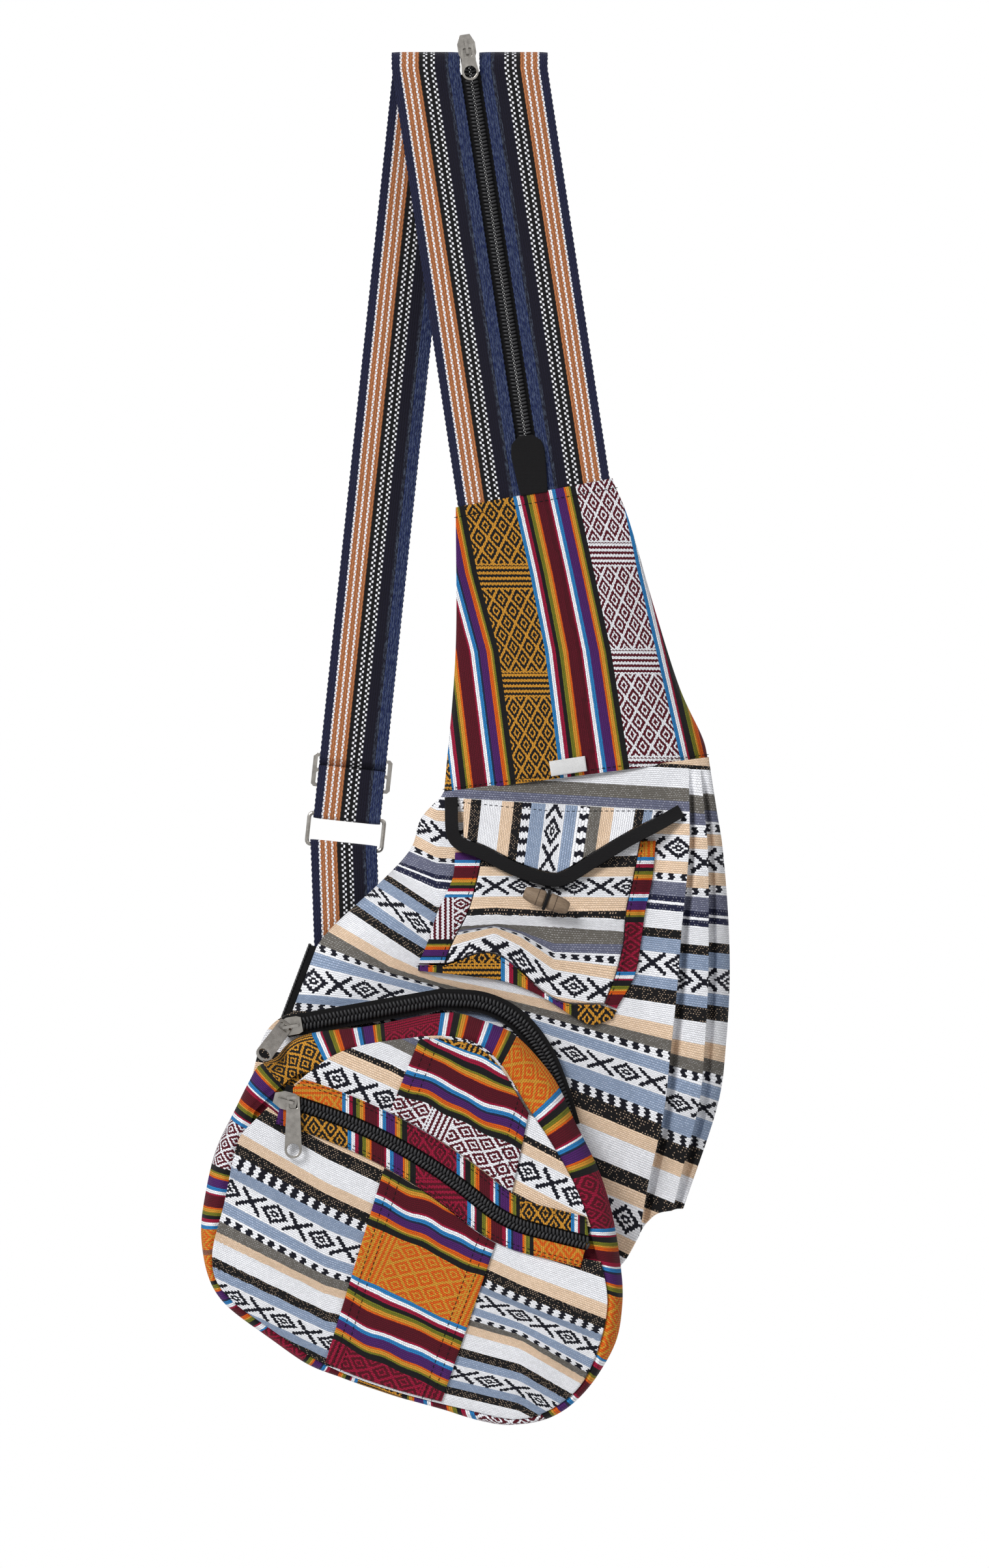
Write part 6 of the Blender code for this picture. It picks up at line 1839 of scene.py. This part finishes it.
METAL = [zip_name + part for zip_name in ("strap", "face", "arch", "side") for part in ("_slider", "_puller")]
METAL += [kind + side for kind in ("triglide_", "ring_") for side in SIDES]


def pale_floor():
    """Wide floor below the bag."""
    mesh = bpy.data.meshes.new("pale_floor")
    corners = [(x, y, FLOOR_LEVEL) for x, y in ((-3, -4), (3, -4), (3, 1.5), (-3, 1.5))]
    mesh.from_pydata(corners, [], [(0, 1, 2, 3)])
    net = Net("pale_floor", 0.9)
    spots = net.clouds(net.place(), 3.0)
    net.set(net.blend(spots, (0.88, 0.88, 0.88, 1), (0.92, 0.92, 0.92, 1)))
    link("pale_floor", mesh, net.material)


def soft_lamps(scene):
    """Broad suns from the front and from behind."""
    for name, energy, turn in LAMPS:
        lamp = bpy.data.lights.new(name, "SUN")
        lamp.energy = energy
        lamp.angle = math.radians(24)
        item = bpy.data.objects.new(name, lamp)
        item.rotation_euler = [math.radians(a) for a in turn]
        scene.collection.objects.link(item)


def white_room(scene):
    """Room that is white to the camera and in reflections, and weaker as light."""
    scene.world = bpy.data.worlds.new("soft_room")
    scene.world.use_nodes = True
    nodes = Nodes(scene.world.node_tree)
    paths = nodes.node("ShaderNodeLightPath").socket.node.outputs
    camera, glossy, clear = (Term(nodes, paths["Is " + kind + " Ray"])
                             for kind in ("Camera", "Glossy", "Transmission"))
    room = nodes.tree.nodes["Background"]
    room.inputs[0].default_value = (1, 1, 1, 1)
    room.inputs[1].default_value = ROOM_LIGHT
    white = nodes.node("ShaderNodeBackground", None, {0: (1, 1, 1, 1), 1: 1.0})
    choice = nodes.node("ShaderNodeMixShader", None, {0: camera.high(glossy).high(clear),
                                                      1: Term(nodes, room.outputs[0]), 2: white})
    nodes.tree.links.new(choice.socket, nodes.tree.nodes["World Output"].inputs[0])


def front_camera(scene):
    """Camera straight in front of the bag."""
    camera = bpy.data.cameras.new("view")
    camera.sensor_fit = "VERTICAL"
    camera.sensor_height = 24
    camera.lens = 71.0
    item = bpy.data.objects.new("view", camera)
    item.location = VIEW
    item.rotation_euler = (math.pi / 2, 0, 0)
    scene.collection.objects.link(item)
    scene.camera = item


class MakeStraps(bpy.types.Operator):
    """Weave the two shoulder bands and the short bands behind the bag"""

    bl_idname = "bag.straps"
    bl_label = "Shoulder bands"

    def execute(self, context):
        """Make the bands."""
        for side in SIDES:
            finish(strap_band(side), "bag", "webbing", "strap_band_" + side)
            finish(lower_strap(side), "bag", "webbing", "lower_strap_" + side)
        return {"FINISHED"}


class MakeYoke(bpy.types.Operator):
    """Lay the striped yoke over its lining"""

    bl_idname = "bag.yoke"
    bl_label = "Yoke and tag"

    def execute(self, context):
        """Make both layers and the folded tag."""
        front, back, inner, outer = yoke_grids()
        finish(slab("yoke_cloth", front, back, yoke_cloth, MATERIALS["many"]), "bag", "multicolour",
               "yoke_front")
        finish(slab("yoke_lining", inner, outer, no_cloth, MATERIALS["lining"]), "bag", "lining", "yoke_back")
        seam(front[2])
        seam(front[-2])
        tag()
        return {"FINISHED"}


class MakeBody(bpy.types.Operator):
    """Shape the pleated body and its back panel"""

    bl_idname = "bag.body"
    bl_label = "Body"

    def execute(self, context):
        """Make front and back."""
        piece = finish(body_front(), "bag", "jacquard", "body_front")
        finish(body_back(), "bag", "lining", "body_back")
        return {"FINISHED"}


class MakeTogglePocket(bpy.types.Operator):
    """Sew the patch pocket with its flap"""

    bl_idname = "bag.toggle_pocket"
    bl_label = "Toggle pocket"

    def execute(self, context):
        """Make pocket, strips, flap and binding."""
        pocket, seams = toggle_pocket()
        for line in seams + flap():
            seam(line)
        return {"FINISHED"}


class MakeToggle(bpy.types.Operator):
    """Turn the wooden toggle and loop its cord"""

    bl_idname = "bag.toggle"
    bl_label = "Toggle"

    def execute(self, context):
        """Make toggle and cord."""
        toggle()
        return {"FINISHED"}


class MakeFrontPocket(bpy.types.Operator):
    """Puff up the front pocket's tube and lay its face"""

    bl_idname = "bag.front_pocket"
    bl_label = "Front pocket"

    def execute(self, context):
        """Make base, tube, face, welts and strips."""
        finish(pocket_base(), "bag", "jacquard", "pocket_back")
        tube = finish(gusset(), "bag", "multicolour", "pocket_gusset")
        lines = face_panels()
        lines += centre_strip("strip_cloth_lower", "centre_strip_lower", 1, STRIP_LOWER,
                              strip_cloth(1466, (-18, 46), (2, 0, 3)))
        lines += centre_strip("strip_cloth_upper", "centre_strip_upper", -1, STRIP_UPPER,
                              strip_cloth(1263, (-18,), (2, 1)))
        for line in lines:
            seam(line)
        return {"FINISHED"}


class MakeZips(bpy.types.Operator):
    """Lay the zip tapes and grow their coils"""

    bl_idname = "bag.zips"
    bl_label = "Zips"

    def execute(self, context):
        """Make tapes, then the coils along them."""
        for build in (strap_zip, side_zip, arch_zip, face_zip):
            build()
        coils = grown("zip_coils", CHAINS, coil_tree(), {"Pitch": sizes().tooth_pitch}, MATERIALS["coil"])
        finish(coils, "bag", "zip")
        return {"FINISHED"}


class MakeMetal(bpy.types.Operator):
    """Finish sliders, pullers, adjusters and rings"""

    bl_idname = "bag.metal"
    bl_label = "Metal"

    def execute(self, context):
        """Give the metal pieces soft edges and worn nickel."""
        for name in METAL:
            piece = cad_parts[name]
            for slot in piece.material_slots:
                slot.material = MATERIALS["nickel"]
            piece.modifiers.new("weld", "WELD").merge_threshold = METAL_WELD
            edge = piece.modifiers.new("edge", "BEVEL")
            edge.width = METAL_EDGE
            edge.segments = 2
            edge.limit_method = "ANGLE"
            edge.angle_limit = math.radians(35)
        return {"FINISHED"}


class MakeStitches(bpy.types.Operator):
    """Stitch along the seams"""

    bl_idname = "bag.stitches"
    bl_label = "Stitches"

    def execute(self, context):
        """Make every line of stitches."""
        thread = grown("seam_stitches", SEAMS, stitch_tree(), {"Spacing": sizes().stitch_length},
                       MATERIALS["thread"])
        finish(thread, "bag", "binding")
        return {"FINISHED"}


class MakeStage(bpy.types.Operator):
    """Set the pale floor, the soft light and the camera"""

    bl_idname = "bag.stage"
    bl_label = "Stage"

    def execute(self, context):
        """Make floor, light and camera."""
        context.scene.view_settings.view_transform = "Standard"
        pale_floor()
        for build in (soft_lamps, white_room, front_camera):
            build(context.scene)
        return {"FINISHED"}


PIECES = (MakeStraps, MakeYoke, MakeBody, MakeTogglePocket, MakeToggle, MakeFrontPocket, MakeZips, MakeMetal,
          MakeStitches, MakeStage)


class BagPanel(bpy.types.Panel):
    """List of the backpack's pieces."""

    bl_idname = "VIEW3D_PT_bag"
    bl_label = "Backpack"
    bl_space_type = "VIEW_3D"
    bl_region_type = "UI"
    bl_category = "Backpack"

    def draw(self, context):
        """Show one button for each piece, then sizes and colours."""
        for piece in PIECES:
            self.layout.operator(piece.bl_idname)
        for group in (context.scene.bag_sizes, context.scene.bag_colours):
            for name in group.__annotations__:
                self.layout.prop(group, name)


CLASSES = (BagSizes, BagColours) + PIECES + (BagPanel,)


def register():
    """Register classes and the scene's properties."""
    for one in CLASSES:
        bpy.utils.register_class(one)
    bpy.types.Scene.bag_sizes = bpy.props.PointerProperty(type=BagSizes)
    bpy.types.Scene.bag_colours = bpy.props.PointerProperty(type=BagColours)


def unregister():
    """Take back what register did."""
    del bpy.types.Scene.bag_colours
    del bpy.types.Scene.bag_sizes
    for one in reversed(CLASSES):
        bpy.utils.unregister_class(one)


def main():
    """Make the whole backpack."""
    register()
    for piece in PIECES:
        getattr(bpy.ops.bag, piece.bl_idname.split(".")[1])()


if __name__ == "__main__":
    main()
